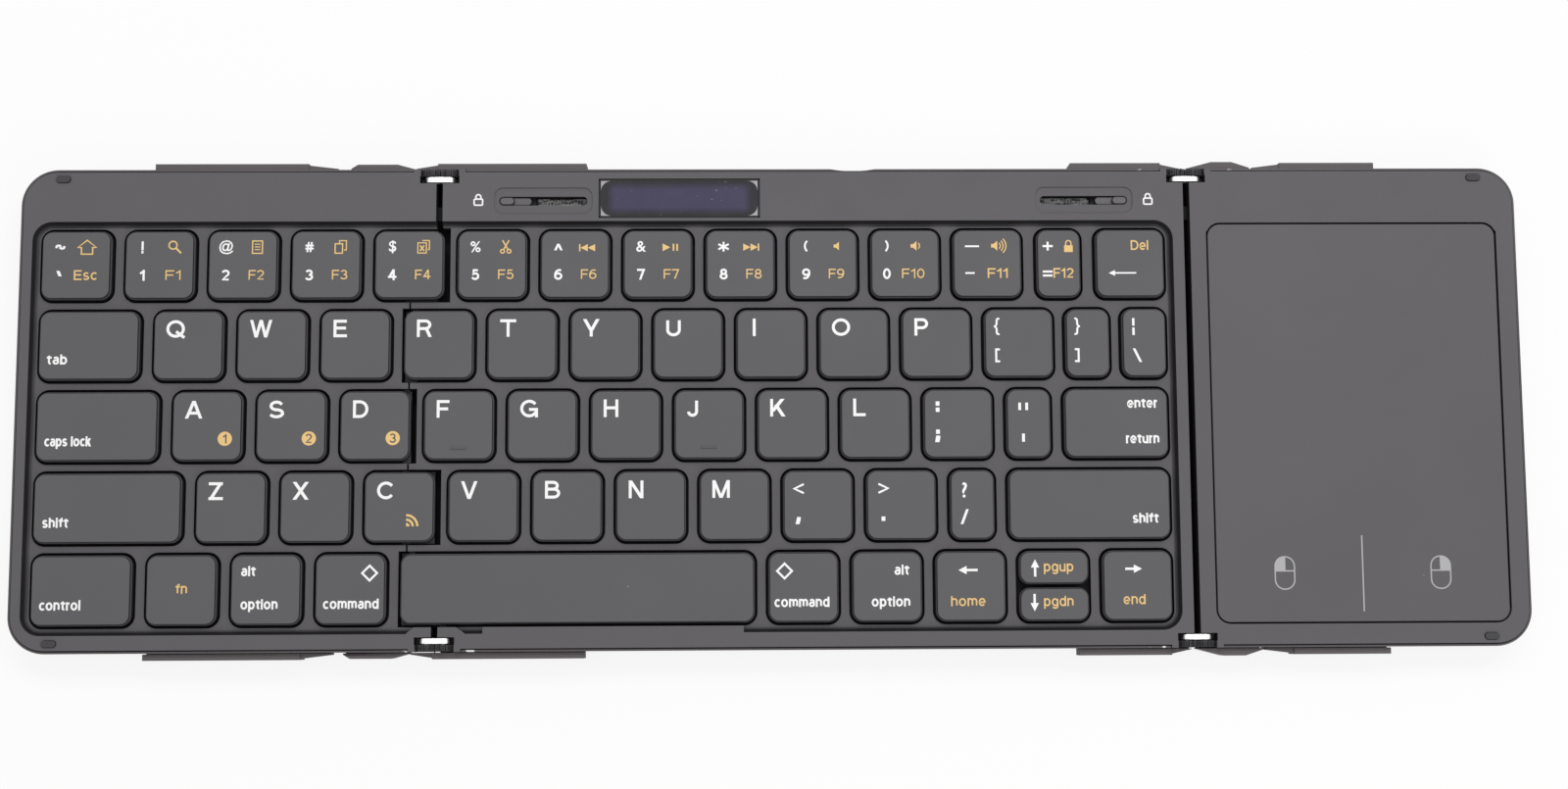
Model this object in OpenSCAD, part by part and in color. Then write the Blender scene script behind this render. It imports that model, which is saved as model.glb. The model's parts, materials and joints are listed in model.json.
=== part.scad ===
// Tri-fold keyboard with a touchpad: two side panels fold up over a centre panel on geared hinges.
// Millimetres, +Z up, +Y towards the back edge. The origin lies under the middle of the open keyboard.

/* [Case] */
// Thickness of a panel, from the underside of its cover to the top of its frame
case_h = 7.0; // [6.6:0.1:9]
// Thickness of the covers' floors
floor_t = 0.7; // [0.5:0.05:0.9]
// Thickness of the covers' side walls
wall_t = 0.5; // [0.4:0.05:0.6]
// Gap between a cover's wall and the frame inside it
rim_gap = 0.15; // [0.1:0.05:0.25]
// Depth of the cover's rim below the top of the frame
rim_drop = 0.5; // [0.2:0.1:0.9]
// Thickness of the frames' skirts
skirt_t = 1.2; // [0.8:0.1:1.3]
// Thickness of the frames' skin over the strip behind the keys
skin_t = 1.6; // [1.2:0.1:1.8]
// Radius of the outer corners
case_r = 7.5; // [5:0.5:10]
// Gap between two panels at a fold
fold_gap = 1.35; // [1.2:0.05:1.5]
// Clearance round pieces that are built in
fit_gap = 0.1; // [0.05:0.05:0.2]

/* [Key field] */
// Width of a letter key
key_w = 13.75; // [13:0.05:16]
// Depth of every key, front to back
key_d = 13.75; // [13:0.05:16]
// Gap between two keys of a row, and between two rows
key_gap = [3.25, 2.85]; // [2.4:0.05:4]
// Width of the narrow keys
small_w = 8.65; // [7:0.05:9.5]
// Corner radius of the keys
key_r = 1.9; // [1:0.1:2.4]
// Height of a key cap
key_h = 2.2; // [2:0.1:2.4]
// Wall and top thickness of a key cap
key_wall = 0.9; // [0.6:0.1:1.1]
// Chamfer round the top of a key cap
key_bevel = 0.3; // [0.1:0.05:0.5]
// Travel of a key
key_travel = 1.2; // [0.8:0.1:1.2]
// Groove round each key
groove = 0.8; // [0.6:0.05:1]
// Depth of the webs between the keys below the top of the frame
web_drop = 1.44; // [1:0.02:1.8]
// Width of the slope round the key field
slope_w = 1.1; // [0.6:0.1:1.4]
// Distance from the keys to the foot of that slope
field_margin = 1.05; // [0.9:0.05:1.2]
// Corner radius of the key field, at the top of the slope
field_r = 4.0; // [3:0.1:5]
// Distance from the back edge of the case to the number row
keys_back = 13.07; // [12.5:0.01:14]
// Distance from the front row to the front edge of the case
keys_front = 5.78; // [5.4:0.02:7]
// Distance from the left edge of the case to the keys
keys_left = 4.75; // [4.4:0.05:7]
// Distance from the keys to the right edge of the centre panel
keys_right = 4.45; // [4.2:0.05:6]
// Shift of the Q key from the 1 key
q_shift = 6.25; // [6:0.05:6.5]
// Shift of the A key from the 1 key
a_shift = 10.5; // [10:0.05:11]
// Shift of the Z key from the 1 key
z_shift = 15.65; // [15:0.05:16]
// Shift of the fn key from the 1 key
fn_shift = 6.05; // [5.8:0.05:6.3]
// Gap between a wide key and its neighbour
wide_gap = 3.35; // [3:0.05:3.6]
// Gap beside each narrow key in the number row
small_gap = 3.6; // [3.2:0.05:4]
// Width of the enter key
enter_w = 20.9; // [20:0.05:21.5]
// Width of the right shift key
shift_w = 32.65; // [32:0.05:33.5]
// Gap between the up and down keys
half_gap = 1.15; // [0.8:0.05:1.5]
// Width and height of the homing bars on F and J
homing = [3.2, 0.2]; // [0.1:0.1:4]

/* [Stepped seam] */
// Distance of the left fold inside the right edge of the 4 key
fold_inset = 0.825; // [0.7:0.025:1]
// Gap between the two frames where the seam steps through the webs
seam = 0.35; // [0.3:0.05:0.5]
// Distance of the seam in the webs from the fold
seam_inset = 5.95; // [5.6:0.05:6.2]
// Extra cut-back of the centre frame beside a key that overhangs the seam
seam_cut = 0.6; // [0.5:0.05:0.8]

/* [Hinges] */
// Distance between the two axles of a hinge
axle_gap = 3.5; // [3.4:0.05:3.7]
// Depth of the axles below the top of the frames
axle_drop = 1.35; // [1.3:0.05:1.4]
// Radius of a link's ends
link_r = 1.3; // [1.1:0.05:1.35]
// Thickness of a link
link_t = 1.1; // [0.8:0.1:1.2]
// Distance from the edge of the case to the middle of a link
link_in = 2.2; // [2.1:0.05:2.4]
// Clearance on each side of a link in its slot
link_gap = 0.22; // [0.15:0.01:0.25]
// Length of a link's slot to each side of the fold
slot_reach = 4.05; // [3.6:0.05:4.4]
// Radius of the hinge pins
pin_r = 0.55; // [0.4:0.05:0.7]
// Radial clearance of a pin in its gear
pin_gap = 0.05; // [0.02:0.01:0.1]
// Number of teeth of each gear
teeth = 14; // [14:2:16]
// Height of a tooth outside the pitch circle
tooth_out = 0.2; // [0.15:0.01:0.22]
// Depth of a tooth inside the pitch circle
tooth_in = 0.28; // [0.25:0.01:0.35]
// Thickness of each gear
gear_t = 1.3; // [1:0.05:1.35]
// Length of a hinge arm, from its axle
arm_l = 12; // [9:0.5:16]
// Thickness and height of a hinge arm
arm_size = [0.8, 1.5]; // [0.6:0.1:1.6]
// Reach of the frame's knuckles to each side of a fold
knuckle = 5.25; // [5:0.05:6]

/* [Side rails] */
// Distance that the rails stand out from the covers' walls
rail_out = 1.45; // [1:0.05:2]
// Depth of the rails' tops below the top of the frame
rail_drop = 1.5; // [1:0.1:2.5]
// Height of the rails' undersides above the covers' undersides
rail_lift = 0.5; // [0:0.1:1.5]
// Gap between a rail and the cover's rim
rail_gap = 0.18; // [0.1:0.02:0.3]
// Left rail's start, end and tip, measured out from the left fold
left_rail = [58.8, 27.2, 21.2]; // [20:0.1:60]
// Left bump's start, flat top and end, measured out from the left fold
left_bump = [18.5, 17.1, 8.9, 5.4]; // [5:0.1:20]
// Centre rail's tip, start and end beside the left fold
centre_rail_l = [-5.0, -0.6, 30.1]; // [-6:0.1:40]
// Centre rail's tip, start and end beside the right fold
centre_rail_r = [0.9, 5.0, 23.8]; // [0.8:0.1:40]
// Right bump's start, flat top and end, measured out from the right fold
right_bump = [0.4, 5.7, 10.0, 13.65]; // [0.3:0.1:16]
// Right rail's tip, start and end, measured out from the right fold
right_rail = [14.3, 20.0, 39.8]; // [14:0.1:60]

/* [Locks, display and ports] */
// Distance of the lock sliders' slots from their folds
lock_x = 12.25; // [11:0.05:14]
// Distance of the lock sliders from the back edge
lock_in = 6.7; // [6.6:0.05:6.9]
// Length and width of a lock slider's slot
lock_slot = [18.2, 1.85]; // [1.6:0.05:20]
// Length and width of the shallow dish round that slot
lock_dish = [20.3, 5.6]; // [4:0.1:22]
// Depth of that dish
dish_t = 0.25; // [0.1:0.05:0.4]
// Length of the lock's knob and of its visible slide
knob_l = [3.1, 6.6]; // [2.5:0.1:7.5]
// Travel of a lock slider
lock_travel = 9; // [6:0.5:10]
// Width and depth of the display's lens
lens = [33.2, 8.15]; // [7:0.05:34]
// Thickness of the lens
lens_t = 1.0; // [0.8:0.1:1.1]
// Distance of the display from the left fold to its middle
lens_x = 49.4; // [48:0.1:52]
// Distance of the display's middle from the back edge
lens_in = 6.17; // [6.1:0.01:6.3]
// Distance of the charging port from the left fold
port_x = 85.3; // [83:0.1:88]
// Width, depth and height of the charging port's shell
port_size = [8.94, 7.3, 3.26]; // [3:0.01:9]
// Width and depth of the scoop in the rim at the port
scoop = [9.2, 0.45]; // [0.3:0.05:10]
// Distance of the power switch from the left fold
power_x = 114.1; // [110:0.1:118]
// Width and height of the power switch's knob
power_knob = [3.4, 1.4]; // [1:0.1:4]
// Distance that the knob stands out from the cover's wall
power_out = 0.45; // [0.3:0.05:0.8]
// Travel of the power switch
power_travel = 2.5; // [1.5:0.1:3]

/* [Touchpad] */
// Width of the touchpad's opening
pad_w = 60.5; // [50:0.5:70]
// Margins of that opening on the fold's side, outside, back and front
pad_margins = [3.25, 4.25, 11.5, 4.75]; // [3:0.05:12]
// Corner radius of the opening
pad_r = 2.9; // [1.5:0.1:4]
// Gap round the touchpad
pad_gap = 0.22; // [0.15:0.01:0.3]
// Thickness of the touchpad with its sensor board
pad_t = 1.45; // [1.2:0.05:1.7]
// Depth of the touchpad below the top of the frame
pad_drop = 0.12; // [0:0.02:0.2]
// Width of the ledges that the touchpad stands on
ledge_w = 0.9; // [0.6:0.1:1.2]

/* [Inner parts] */
// Thickness of the switch plates
plate_t = 0.8; // [0.5:0.1:0.9]
// Thickness of the circuit board
board_t = 0.8; // [0.6:0.1:1]
// Height of the board above the cover's floor
board_lift = 0.6; // [0.4:0.1:0.8]
// Width, depth and thickness of the battery
battery_size = [50, 62, 3.0]; // [2:0.1:66]
// Radius of the rubber domes under the keys
dome_r = 2.6; // [2:0.1:2.8]
// Half width and length of the larger scissor frames
scissor = [4.6, 9.6]; // [4:0.1:10]
// Thickness of the scissor frames' bars
scissor_t = 0.6; // [0.5:0.05:0.7]
// Width of the flex cables
flex_w = 2.8; // [2:0.1:2.9]
// Thickness of the flex cables
flex_t = 0.15; // [0.1:0.05:0.2]

/* [Feet and screws] */
// Height of the rubber feet
foot_h = 0.6; // [0.4:0.1:1.2]
// Length and width of a foot
foot_size = [14, 4]; // [3:0.5:20]
// Length and width of a corner bumper
bumper_size = [3.0, 1.4]; // [1:0.1:4]
// Distance that the corner bumpers stand out
bumper_out = 0.35; // [0.2:0.05:0.4]
// Distance of the corner bumpers from the outer side edge and from the long edges
bumper_at = [8.55, 2.05]; // [1.8:0.05:12]
// Radius of the case screws' shanks and heads
screw_r = [0.7, 1.6]; // [0.5:0.05:1.8]
// Thickness of a screw's head
screw_head_t = 0.45; // [0.3:0.05:0.5]
// Distances of the middle back screws from the charging port
screw_port = [12.3, 14.7]; // [10:0.1:16]
// Distance between two front screws
screw_pitch = 38; // [30:1:44]
// Spacing of the posts under the switch plates
post_pitch = 30; // [20:1:40]
// Distances of the board's two chips from the left fold
chip_x = [63, 123]; // [55:1:126]
// Width and height of a chip
chip_size = [6, 1]; // [0.5:0.1:8]

/* [Hidden] */
$fn = 32;
EPS = 0.01;
FAR = 400;

// Heights
case_z = foot_h;
floor_z = case_z + floor_t;
top_z = case_z + case_h;
web_z = top_z - web_drop;
skin_z = top_z - skin_t;
plate_z = floor_z + 2.6 - plate_t;
plate_top = plate_z + plate_t;
cap_z = top_z - key_h;
axle_z = top_z - axle_drop;
board_z = floor_z + board_lift;
board_top = board_z + board_t;
pad_z = top_z - pad_drop - pad_t;

// Sizes that follow from the keys
pitch_x = key_w + key_gap[0];
pitch_y = key_d + key_gap[1];
keys_w = 11 * pitch_x + 2 * key_w + 2 * small_gap + small_w;
fold_from_left = keys_left + 4 * pitch_x + key_w - fold_inset;
left_w = fold_from_left - fold_gap / 2;
centre_w = keys_left + keys_w + keys_right - fold_from_left - fold_gap / 2;
right_w = pad_margins[0] + pad_w + pad_margins[1];
total_w = left_w + centre_w + right_w + 2 * fold_gap;
case_d = keys_back + 4 * pitch_y + key_d + keys_front;
back_y = case_d / 2;

// Places along X
x_left = -total_w / 2;
x_right = total_w / 2;
fold_l = x_left + fold_from_left;
fold_r = fold_l + fold_gap + centre_w;
keys_x = x_left + keys_left;
keys_end = keys_x + keys_w;
one_x = keys_x + pitch_x;

// Rows: 0 is the number row
SHIFTS = [0, q_shift, a_shift, z_shift, fn_shift];
function row_back(r) = back_y - keys_back - r * pitch_y;
function row_front(r) = row_back(r) - key_d;
function key_x(r, i) = one_x + SHIFTS[r] + i * pitch_x;

// A key is [left edge, front edge, width, depth]
function key_at(x, r, w = key_w) = [x, row_front(r), w, key_d];
function full_key(r, i) = key_at(key_x(r, i), r);
function wide_left(r) = key_at(keys_x, r, key_x(r, 0) - wide_gap - keys_x);
function wide_right(r, w) = key_at(keys_end - w, r, w);
function small_between(r, a, b) = key_at((a + b - small_w) / 2, r, small_w);
function bottom_right(n) = key_at(keys_end - key_w - n * pitch_x, 4);
half_d = (key_d - half_gap) / 2;
space_x = key_x(4, 2) + key_w + wide_gap;

LETTERS = ["", "qwertyuiop", "asdfghjkl", "zxcvbnm"];
LEFT_NUMBERS = [for (i = [-1 : 3]) full_key(0, i)];
LEFT_MODIFIERS = concat([for (r = [1 : 4]) wide_left(r)], [for (i = [0 : 2]) full_key(4, i)]);
RIGHT_NUMBERS = concat(
    [for (i = [4 : 10]) full_key(0, i)],
    [small_between(0, key_x(0, 10) + key_w, keys_end - key_w), wide_right(0, key_w)]
);
PUNCTUATION = [
    full_key(1, 10),
    small_between(1, key_x(1, 10) + key_w, keys_end - small_w),
    wide_right(1, small_w),
    full_key(2, 9),
    small_between(2, key_x(2, 9) + key_w, keys_end - enter_w),
    full_key(3, 7),
    full_key(3, 8),
    small_between(3, key_x(3, 8) + key_w, keys_end - shift_w)
];
RIGHT_MODIFIERS = [wide_right(2, enter_w), wide_right(3, shift_w), bottom_right(4), bottom_right(3)];
UP_DOWN = bottom_right(1);
ARROWS = [
    bottom_right(2),
    [UP_DOWN[0], UP_DOWN[1] + half_d + half_gap, key_w, half_d],
    [UP_DOWN[0], UP_DOWN[1], key_w, half_d],
    bottom_right(0)
];
SPACE = [space_x, row_front(4), bottom_right(4)[0] - (pitch_x - key_w) - space_x, key_d];
LEFT_LETTERS = concat(
    [for (i = [0 : 2]) full_key(1, i)], [for (i = [0 : 2]) full_key(2, i)], [for (i = [0 : 2]) full_key(3, i)]
);
CENTRE_LETTERS = concat(
    [for (i = [3 : 9]) full_key(1, i)], [for (i = [3 : 8]) full_key(2, i)], [for (i = [3 : 6]) full_key(3, i)]
);
LEFT_KEYS = concat(LEFT_NUMBERS, LEFT_MODIFIERS, LEFT_LETTERS);
CENTRE_KEYS = concat(RIGHT_NUMBERS, PUNCTUATION, RIGHT_MODIFIERS, ARROWS, [SPACE], CENTRE_LETTERS);

// Seam between the left and centre frames, from back to front. Each step is
// [right edge of the left frame, left edge of the centre frame, Y where the step ends].
edge_l = fold_l - fold_gap / 2;
edge_c = fold_l + fold_gap / 2;
edge_cr = fold_r - fold_gap / 2;
edge_r = fold_r + fold_gap / 2;
web_l = fold_l - seam_inset - seam / 2;
web_c = web_l + seam;
function over(r, i) = key_x(r, i) + key_w + groove + seam_cut;
function under(r, i) = key_x(r, i) - groove;
function back_step(r) = row_back(r) + groove - seam / 2;
function front_step(r) = row_front(r) - groove + seam / 2;
STEPS = [
    [edge_l, edge_c, row_back(0) + groove],
    [edge_l, over(0, 3), front_step(0)],
    [web_l, web_c, back_step(1)],
    [under(1, 3), under(1, 3) + seam, front_step(1)],
    [web_l, web_c, back_step(2)],
    [key_x(2, 2) + key_w, over(2, 2), front_step(2)],
    [web_l, web_c, back_step(3)],
    [edge_l, over(3, 2), front_step(3)],
    [web_l, web_c, back_step(4)],
    [space_x - groove, space_x - groove + seam, front_step(4)],
    [edge_l, edge_c, -FAR]
];
LAST = len(STEPS) - 1;
function step_y(side, k) = STEPS[k][2] + sign(STEPS[k][side] - STEPS[k + 1][side]) * (side == 0 ? seam : -seam) / 2;
function step_back(side, k) = k == 0 ? FAR : step_y(side, k - 1);
function step_front(side, k) = k == LAST ? -FAR : step_y(side, k);

// Places of the fittings
link_y = back_y - link_in;
gear_y = link_y + link_t / 2 + 0.2;
pitch_r = axle_gap / 2;
frame_in = wall_t + rim_gap;
strip_y = row_back(0) + field_margin + slope_w + 0.3;
lock_y = back_y - lock_in;
port_cx = fold_l + port_x;
port_z = board_top;
power_cx = fold_l + power_x;
power_z = board_top + 0.5;
lens_cx = fold_l + lens_x;
lens_cy = back_y - lens_in;
flex_y = strip_y + 0.1 + flex_w / 2;
pad_x = edge_r + pad_margins[0];
pad_d = case_d - pad_margins[2] - pad_margins[3];
pad_front = -back_y + pad_margins[3];
boss_r = screw_r[0] + pin_gap + 1.0;
screw_back_y = strip_y + boss_r + 0.2;
screw_front_y = row_front(3) - key_gap[1] / 2;
fold_mid = (fold_l + fold_r) / 2;
lock_base = 0.8;
screw_edge = lock_x - lock_base - boss_r - 0.2;
screws_back = [fold_l + screw_edge, port_cx - screw_port[0], port_cx + screw_port[1], fold_r - screw_edge];
screws_front = [for (i = [-1.5 : 1.5]) fold_mid + i * screw_pitch];

/* Plain shapes */
module rounded(x, y, w, d, r) {
    translate([x + r, y]) square([w - 2 * r, d]);
    translate([x, y + r]) square([w, d - 2 * r]);
    for (cx = [x + r, x + w - r], cy = [y + r, y + d - r]) translate([cx, cy]) circle(r);
}
module pill(l, w) {
    square([l - w, w], center = true);
    for (s = [-1, 1]) translate([s * (l - w) / 2, 0]) circle(w / 2);
}
module box(x1, x2, y1, y2, z1, z2) {
    translate([x1, y1, z1]) cube([x2 - x1, y2 - y1, z2 - z1]);
}
module slab(z1, z2) {
    translate([0, 0, z1]) linear_extrude(z2 - z1) children();
}
module both_edges() {
    children();
    mirror([0, 1, 0]) children();
}
// A rounded plate whose top edge is chamfered
module bevelled(w, d, r, h, c) {
    for (q = [[w, d, 0], [d, w, 90]]) rotate([0, 0, q[2]])
        rotate([90, 0, 0]) translate([0, 0, r - q[1] / 2]) linear_extrude(q[1] - 2 * r)
            polygon([[-q[0] / 2, 0], [-q[0] / 2, h - c], [c - q[0] / 2, h],
                     [q[0] / 2 - c, h], [q[0] / 2, h - c], [q[0] / 2, 0]]);
    for (sx = [-1, 1], sy = [-1, 1]) translate([sx * (w / 2 - r), sy * (d / 2 - r), 0]) {
        cylinder(h = h - c, r = r);
        translate([0, 0, h - c]) cylinder(h = c, r1 = r, r2 = r - c);
    }
}

/* Outlines */
// inset moves the outer edges in, step moves the seam in
module left_blank(inset) {
    rounded(x_left + inset, -back_y + inset, FAR, case_d - 2 * inset, case_r - inset);
}
module right_blank(inset) {
    rounded(x_right - inset - FAR, -back_y + inset, FAR, case_d - 2 * inset, case_r - inset);
}
module left_outline(inset, step) {
    difference() {
        left_blank(inset);
        for (k = [0 : LAST]) translate([STEPS[k][0] - step, step_front(0, k) - step])
            square([2 * FAR, step_back(0, k) - step_front(0, k) + 2 * step]);
    }
}
module centre_outline(inset, step) {
    difference() {
        translate([x_left, -back_y + inset]) square([edge_cr - step - x_left, case_d - 2 * inset]);
        for (k = [0 : LAST]) translate([x_left - FAR, step_front(1, k) - step])
            square([STEPS[k][1] + step - x_left + FAR, step_back(1, k) - step_front(1, k) + 2 * step]);
    }
}
module right_outline(inset, step) {
    difference() {
        right_blank(inset);
        translate([-2 * FAR, -back_y - 1]) square([edge_r + step + 2 * FAR, case_d + 2]);
    }
}
// Places where a knuckle carries the frame out to the full depth, as [x1, x2]
module knuckles(x1, x2) {
    both_edges() translate([x1, back_y - 3]) square([x2 - x1, 3]);
}

/* Bottom covers */
// A rail beside the wall, from its plan points [x, how far out]. low and high bound its own cover.
module rail(points, top, low, high) {
    out = [for (p = points) [p[0], back_y + p[1]]];
    inner = [[points[len(points) - 1][0], back_y + rail_gap], [points[0][0], back_y + rail_gap]];
    x1 = max(low, min([for (p = points) p[0]]));
    x2 = min(high, max([for (p = points) p[0]]));
    both_edges() {
        slab(case_z + rail_lift, top) polygon(concat(out, inner));
        box(x1, x2, back_y - EPS, back_y + rail_gap + EPS, case_z + rail_lift, case_z + rail_lift + 2);
    }
}
rail_top = top_z - rail_drop;
module left_rails() {
    r = [for (v = left_rail) fold_l - v];
    b = [for (v = left_bump) fold_l - v];
    rail([[r[0], rail_out], [r[1], rail_out]], rail_top, x_left, edge_l);
    rail([[r[1], rail_out - 0.25], [r[2], 0.5]], rail_top - 0.35, x_left, edge_l);
    rail([[b[0], 0.45], [b[1], rail_out - 0.15], [b[2], rail_out - 0.15], [b[3], 0.35]], rail_top,
         x_left, edge_l);
}
module centre_rails() {
    a = [for (v = centre_rail_l) fold_l + v];
    c = [for (v = centre_rail_r) fold_r - v];
    rail([[a[1], rail_out], [a[2], rail_out]], rail_top, edge_c, edge_cr);
    rail([[a[0], 0.5], [a[1], rail_out - 0.25]], rail_top - 0.35, a[1] - EPS, edge_cr);
    rail([[c[2], rail_out], [c[1], rail_out]], rail_top, edge_c, edge_cr);
    rail([[c[1], rail_out - 0.25], [c[0], 0.3]], rail_top - 0.35, edge_c, edge_cr);
}
module right_rails() {
    b = [for (v = right_bump) fold_r + v];
    r = [for (v = right_rail) fold_r + v];
    rail([[b[0], 0.25], [b[1], rail_out + 0.2], [b[2], rail_out + 0.2], [b[3], 0.45]], rail_top,
         edge_r, x_right);
    rail([[r[0], 0.5], [r[1], rail_out - 0.25]], rail_top - 0.35, edge_r, x_right);
    rail([[r[1], rail_out], [r[2], rail_out]], rail_top, edge_r, x_right);
}
// The wall is lowered where the frame's knuckles pass over it
module wall_gaps(fold) {
    both_edges() box(fold - knuckle - fit_gap, fold + knuckle + fit_gap,
                     back_y - 3, back_y + EPS, plate_top - fit_gap, FAR);
}
module posts(xs, ys) {
    for (x = xs, y = ys) translate([x, y, floor_z - EPS])
        cylinder(h = plate_z - floor_z + EPS, r = 1.5);
}
module left_bottom_cover() {
    color("#4c494c") {
        difference() {
            union() {
                slab(case_z, floor_z) left_outline(0, 0);
                slab(case_z, top_z - rim_drop) difference() {
                    left_outline(0, 0);
                    left_blank(wall_t);
                }
            }
            wall_gaps(fold_l);
        }
        left_rails();
        posts([for (i = [-1 : 0]) web_l - post_pitch / 2 + i * post_pitch - key_w / 2],
              [row_back(1), row_back(3), row_front(4) + 2]);
    }
}
module centre_bottom_cover() {
    color("#4c494c") {
        difference() {
            union() {
                slab(case_z, floor_z) centre_outline(0, 0);
                both_edges() box(edge_c, edge_cr, back_y - wall_t, back_y, case_z, top_z - rim_drop);
                box(port_cx - scoop[0] / 2 - 0.8, port_cx + scoop[0] / 2 + 0.8,
                    back_y - frame_in, back_y, case_z, top_z - rim_drop);
            }
            wall_gaps(fold_l);
            wall_gaps(fold_r);
            port_scoop();
            port_hole(0.25);
            power_slot();
            screw_holes(screw_r[1] + fit_gap, case_z - EPS, case_z + screw_head_t + 0.02);
            screw_holes(screw_r[0] + fit_gap, case_z, floor_z + EPS);
        }
        centre_rails();
        posts([for (i = [-2 : 2]) fold_mid + i * post_pitch], [row_back(1), row_front(4) + 2]);
        for (x = [board_x1 + 2, lens_cx - 8, port_cx + 2, power_cx + 14, board_x2 - 2])
            translate([x, board_y2 - 1.5, floor_z - EPS]) cylinder(h = board_lift + EPS, r = 0.9);
    }
}
module right_bottom_cover() {
    color("#4c494c") {
        difference() {
            union() {
                slab(case_z, floor_z) right_outline(0, 0);
                slab(case_z, top_z - rim_drop) difference() {
                    right_outline(0, 0);
                    right_blank(wall_t);
                }
            }
            wall_gaps(fold_r);
        }
        right_rails();
    }
}

/* Top frames */
// The sunken key field with sloping sides, as a cutter
module field_cut() {
    w = keys_w + 2 * (field_margin + slope_w);
    d = 4 * pitch_y + key_d + 2 * (field_margin + slope_w);
    r = field_r;
    h = web_drop;
    translate([keys_x + keys_w / 2, (row_back(0) + row_front(4)) / 2, top_z]) rotate([180, 0, 0]) {
        for (q = [[w, d, 0], [d, w, 90]]) rotate([0, 0, q[2]])
            rotate([90, 0, 0]) translate([0, 0, r - q[1] / 2]) linear_extrude(q[1] - 2 * r)
                polygon([[-q[0] / 2, -1], [-q[0] / 2, 0], [slope_w - q[0] / 2, h],
                         [q[0] / 2 - slope_w, h], [q[0] / 2, 0], [q[0] / 2, -1]]);
        for (sx = [-1, 1], sy = [-1, 1]) translate([sx * (w / 2 - r), sy * (d / 2 - r), 0]) {
            translate([0, 0, -1]) cylinder(h = 1, r = r);
            cylinder(h = h, r1 = r, r2 = r - slope_w);
        }
    }
}
// The front strip stays at full height round the left hinge and in front of the space bar
module front_land() {
    y1 = row_front(4) - groove;
    y0 = -back_y + frame_in;
    slab(web_z - EPS, top_z) polygon([
        [fold_l - knuckle - 0.4, y0], [fold_l - knuckle - 0.4, y1 - 1.2], [fold_l - 4.1, y1],
        [fold_l + 4.4, y1], [fold_l + knuckle + 0.8, y1 - 1.2], [fold_l + knuckle + 0.8, y0]
    ]);
    box(fold_l + 9.7, SPACE[0] + SPACE[2] - 2, y0, y1, web_z - EPS, top_z);
}
module pocket(k, inset = 0) {
    rounded(k[0] - groove, k[1] - groove, k[2] + 2 * groove, k[3] + 2 * groove, key_r + groove);
}
module pockets(keys) {
    slab(plate_top - EPS, FAR) for (k = keys) pocket(k);
}
// Keys beside the seam have square pockets on that side
module seam_pockets(right_side, keys) {
    for (k = keys) box(
        right_side ? k[0] + k[2] - key_r - groove : k[0] - groove,
        right_side ? k[0] + k[2] + groove + seam_cut : k[0] + key_r + groove,
        k[1] - groove, k[1] + k[3] + groove, plate_top - EPS, FAR);
}
module strip_hollow(x1, x2, near1, near2, z1) {
    y2 = back_y - frame_in - skirt_t;
    box(x1, x2, strip_y, link_y - link_t / 2 - link_gap - 1, z1, skin_z);
    box(near1, near2, strip_y, y2, z1, skin_z);
}
// Slots for the link and the gear, and a pocket for the hinge arm. side is -1 left of the fold.
module hinge_cuts(fold, side) {
    reach = fold + side * slot_reach;
    axle = fold + side * pitch_r;
    gear_reach = axle + side * (pitch_r + tooth_out + 0.25);
    arm_end = axle + side * (arm_l + fit_gap);
    both_edges() {
        box(min(reach, fold), max(reach, fold), link_y - link_t / 2 - link_gap,
            link_y + link_t / 2 + link_gap, axle_z - link_r - 0.15, FAR);
        box(min(gear_reach, fold), max(gear_reach, fold), gear_y - fit_gap, back_y + EPS,
            axle_z - pitch_r - tooth_out - 0.15, FAR);
        box(min(arm_end, fold), max(arm_end, fold), gear_y - fit_gap,
            gear_y + arm_size[0] + fit_gap, arm_z - fit_gap, arm_z + arm_size[1] + fit_gap);
    }
}
arm_z = axle_z - 1.85;
module skirt_2d(kind) {
    difference() {
        if (kind == 0) left_outline(frame_in, 0);
        if (kind == 1) centre_outline(frame_in, 0);
        if (kind == 2) right_outline(frame_in, 0);
        if (kind == 0) left_outline(frame_in + skirt_t, skirt_t);
        if (kind == 1) centre_outline(frame_in + skirt_t, skirt_t);
        if (kind == 2) right_outline(frame_in + skirt_t, skirt_t);
    }
}
// Slots in the skirts along a fold for the flex cables and the lock bolts
module fold_slots(x1, x2) {
    box(x1, x2, flex_y - flex_w / 2 - 0.1, flex_y + flex_w / 2 + 0.1, skin_z - 0.5, skin_z - 0.1);
}
module bumper_seats(side_x, s) {
    both_edges() translate([side_x + s * bumper_at[0], back_y - bumper_at[1], top_z - 0.8])
        linear_extrude(2) pill(bumper_size[0] + 0.1, bumper_size[1] + 0.1);
}
module left_top_frame() {
    color("#67656a") difference() {
        union() {
            difference() {
                slab(plate_top, top_z) union() {
                    left_outline(frame_in, 0);
                    intersection() {
                        left_outline(0, 0);
                        knuckles(fold_l - knuckle, edge_l);
                    }
                }
                field_cut();
            }
            intersection() {
                slab(0, FAR) left_outline(frame_in, 0);
                front_land();
            }
            slab(floor_z, plate_top + EPS) skirt_2d(0);
        }
        pockets(concat(LEFT_KEYS, [SPACE]));
        seam_pockets(true, [full_key(0, 3), full_key(2, 2), full_key(3, 2)]);
        strip_hollow(x_left + frame_in + skirt_t + 3, edge_l - skirt_t,
                     x_left + case_r, edge_l - 8, plate_top - EPS);
        hinge_cuts(fold_l, -1);
        fold_slots(edge_l - skirt_t - 1, edge_l + 1);
        bumper_seats(x_left, 1);
    }
}
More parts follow.
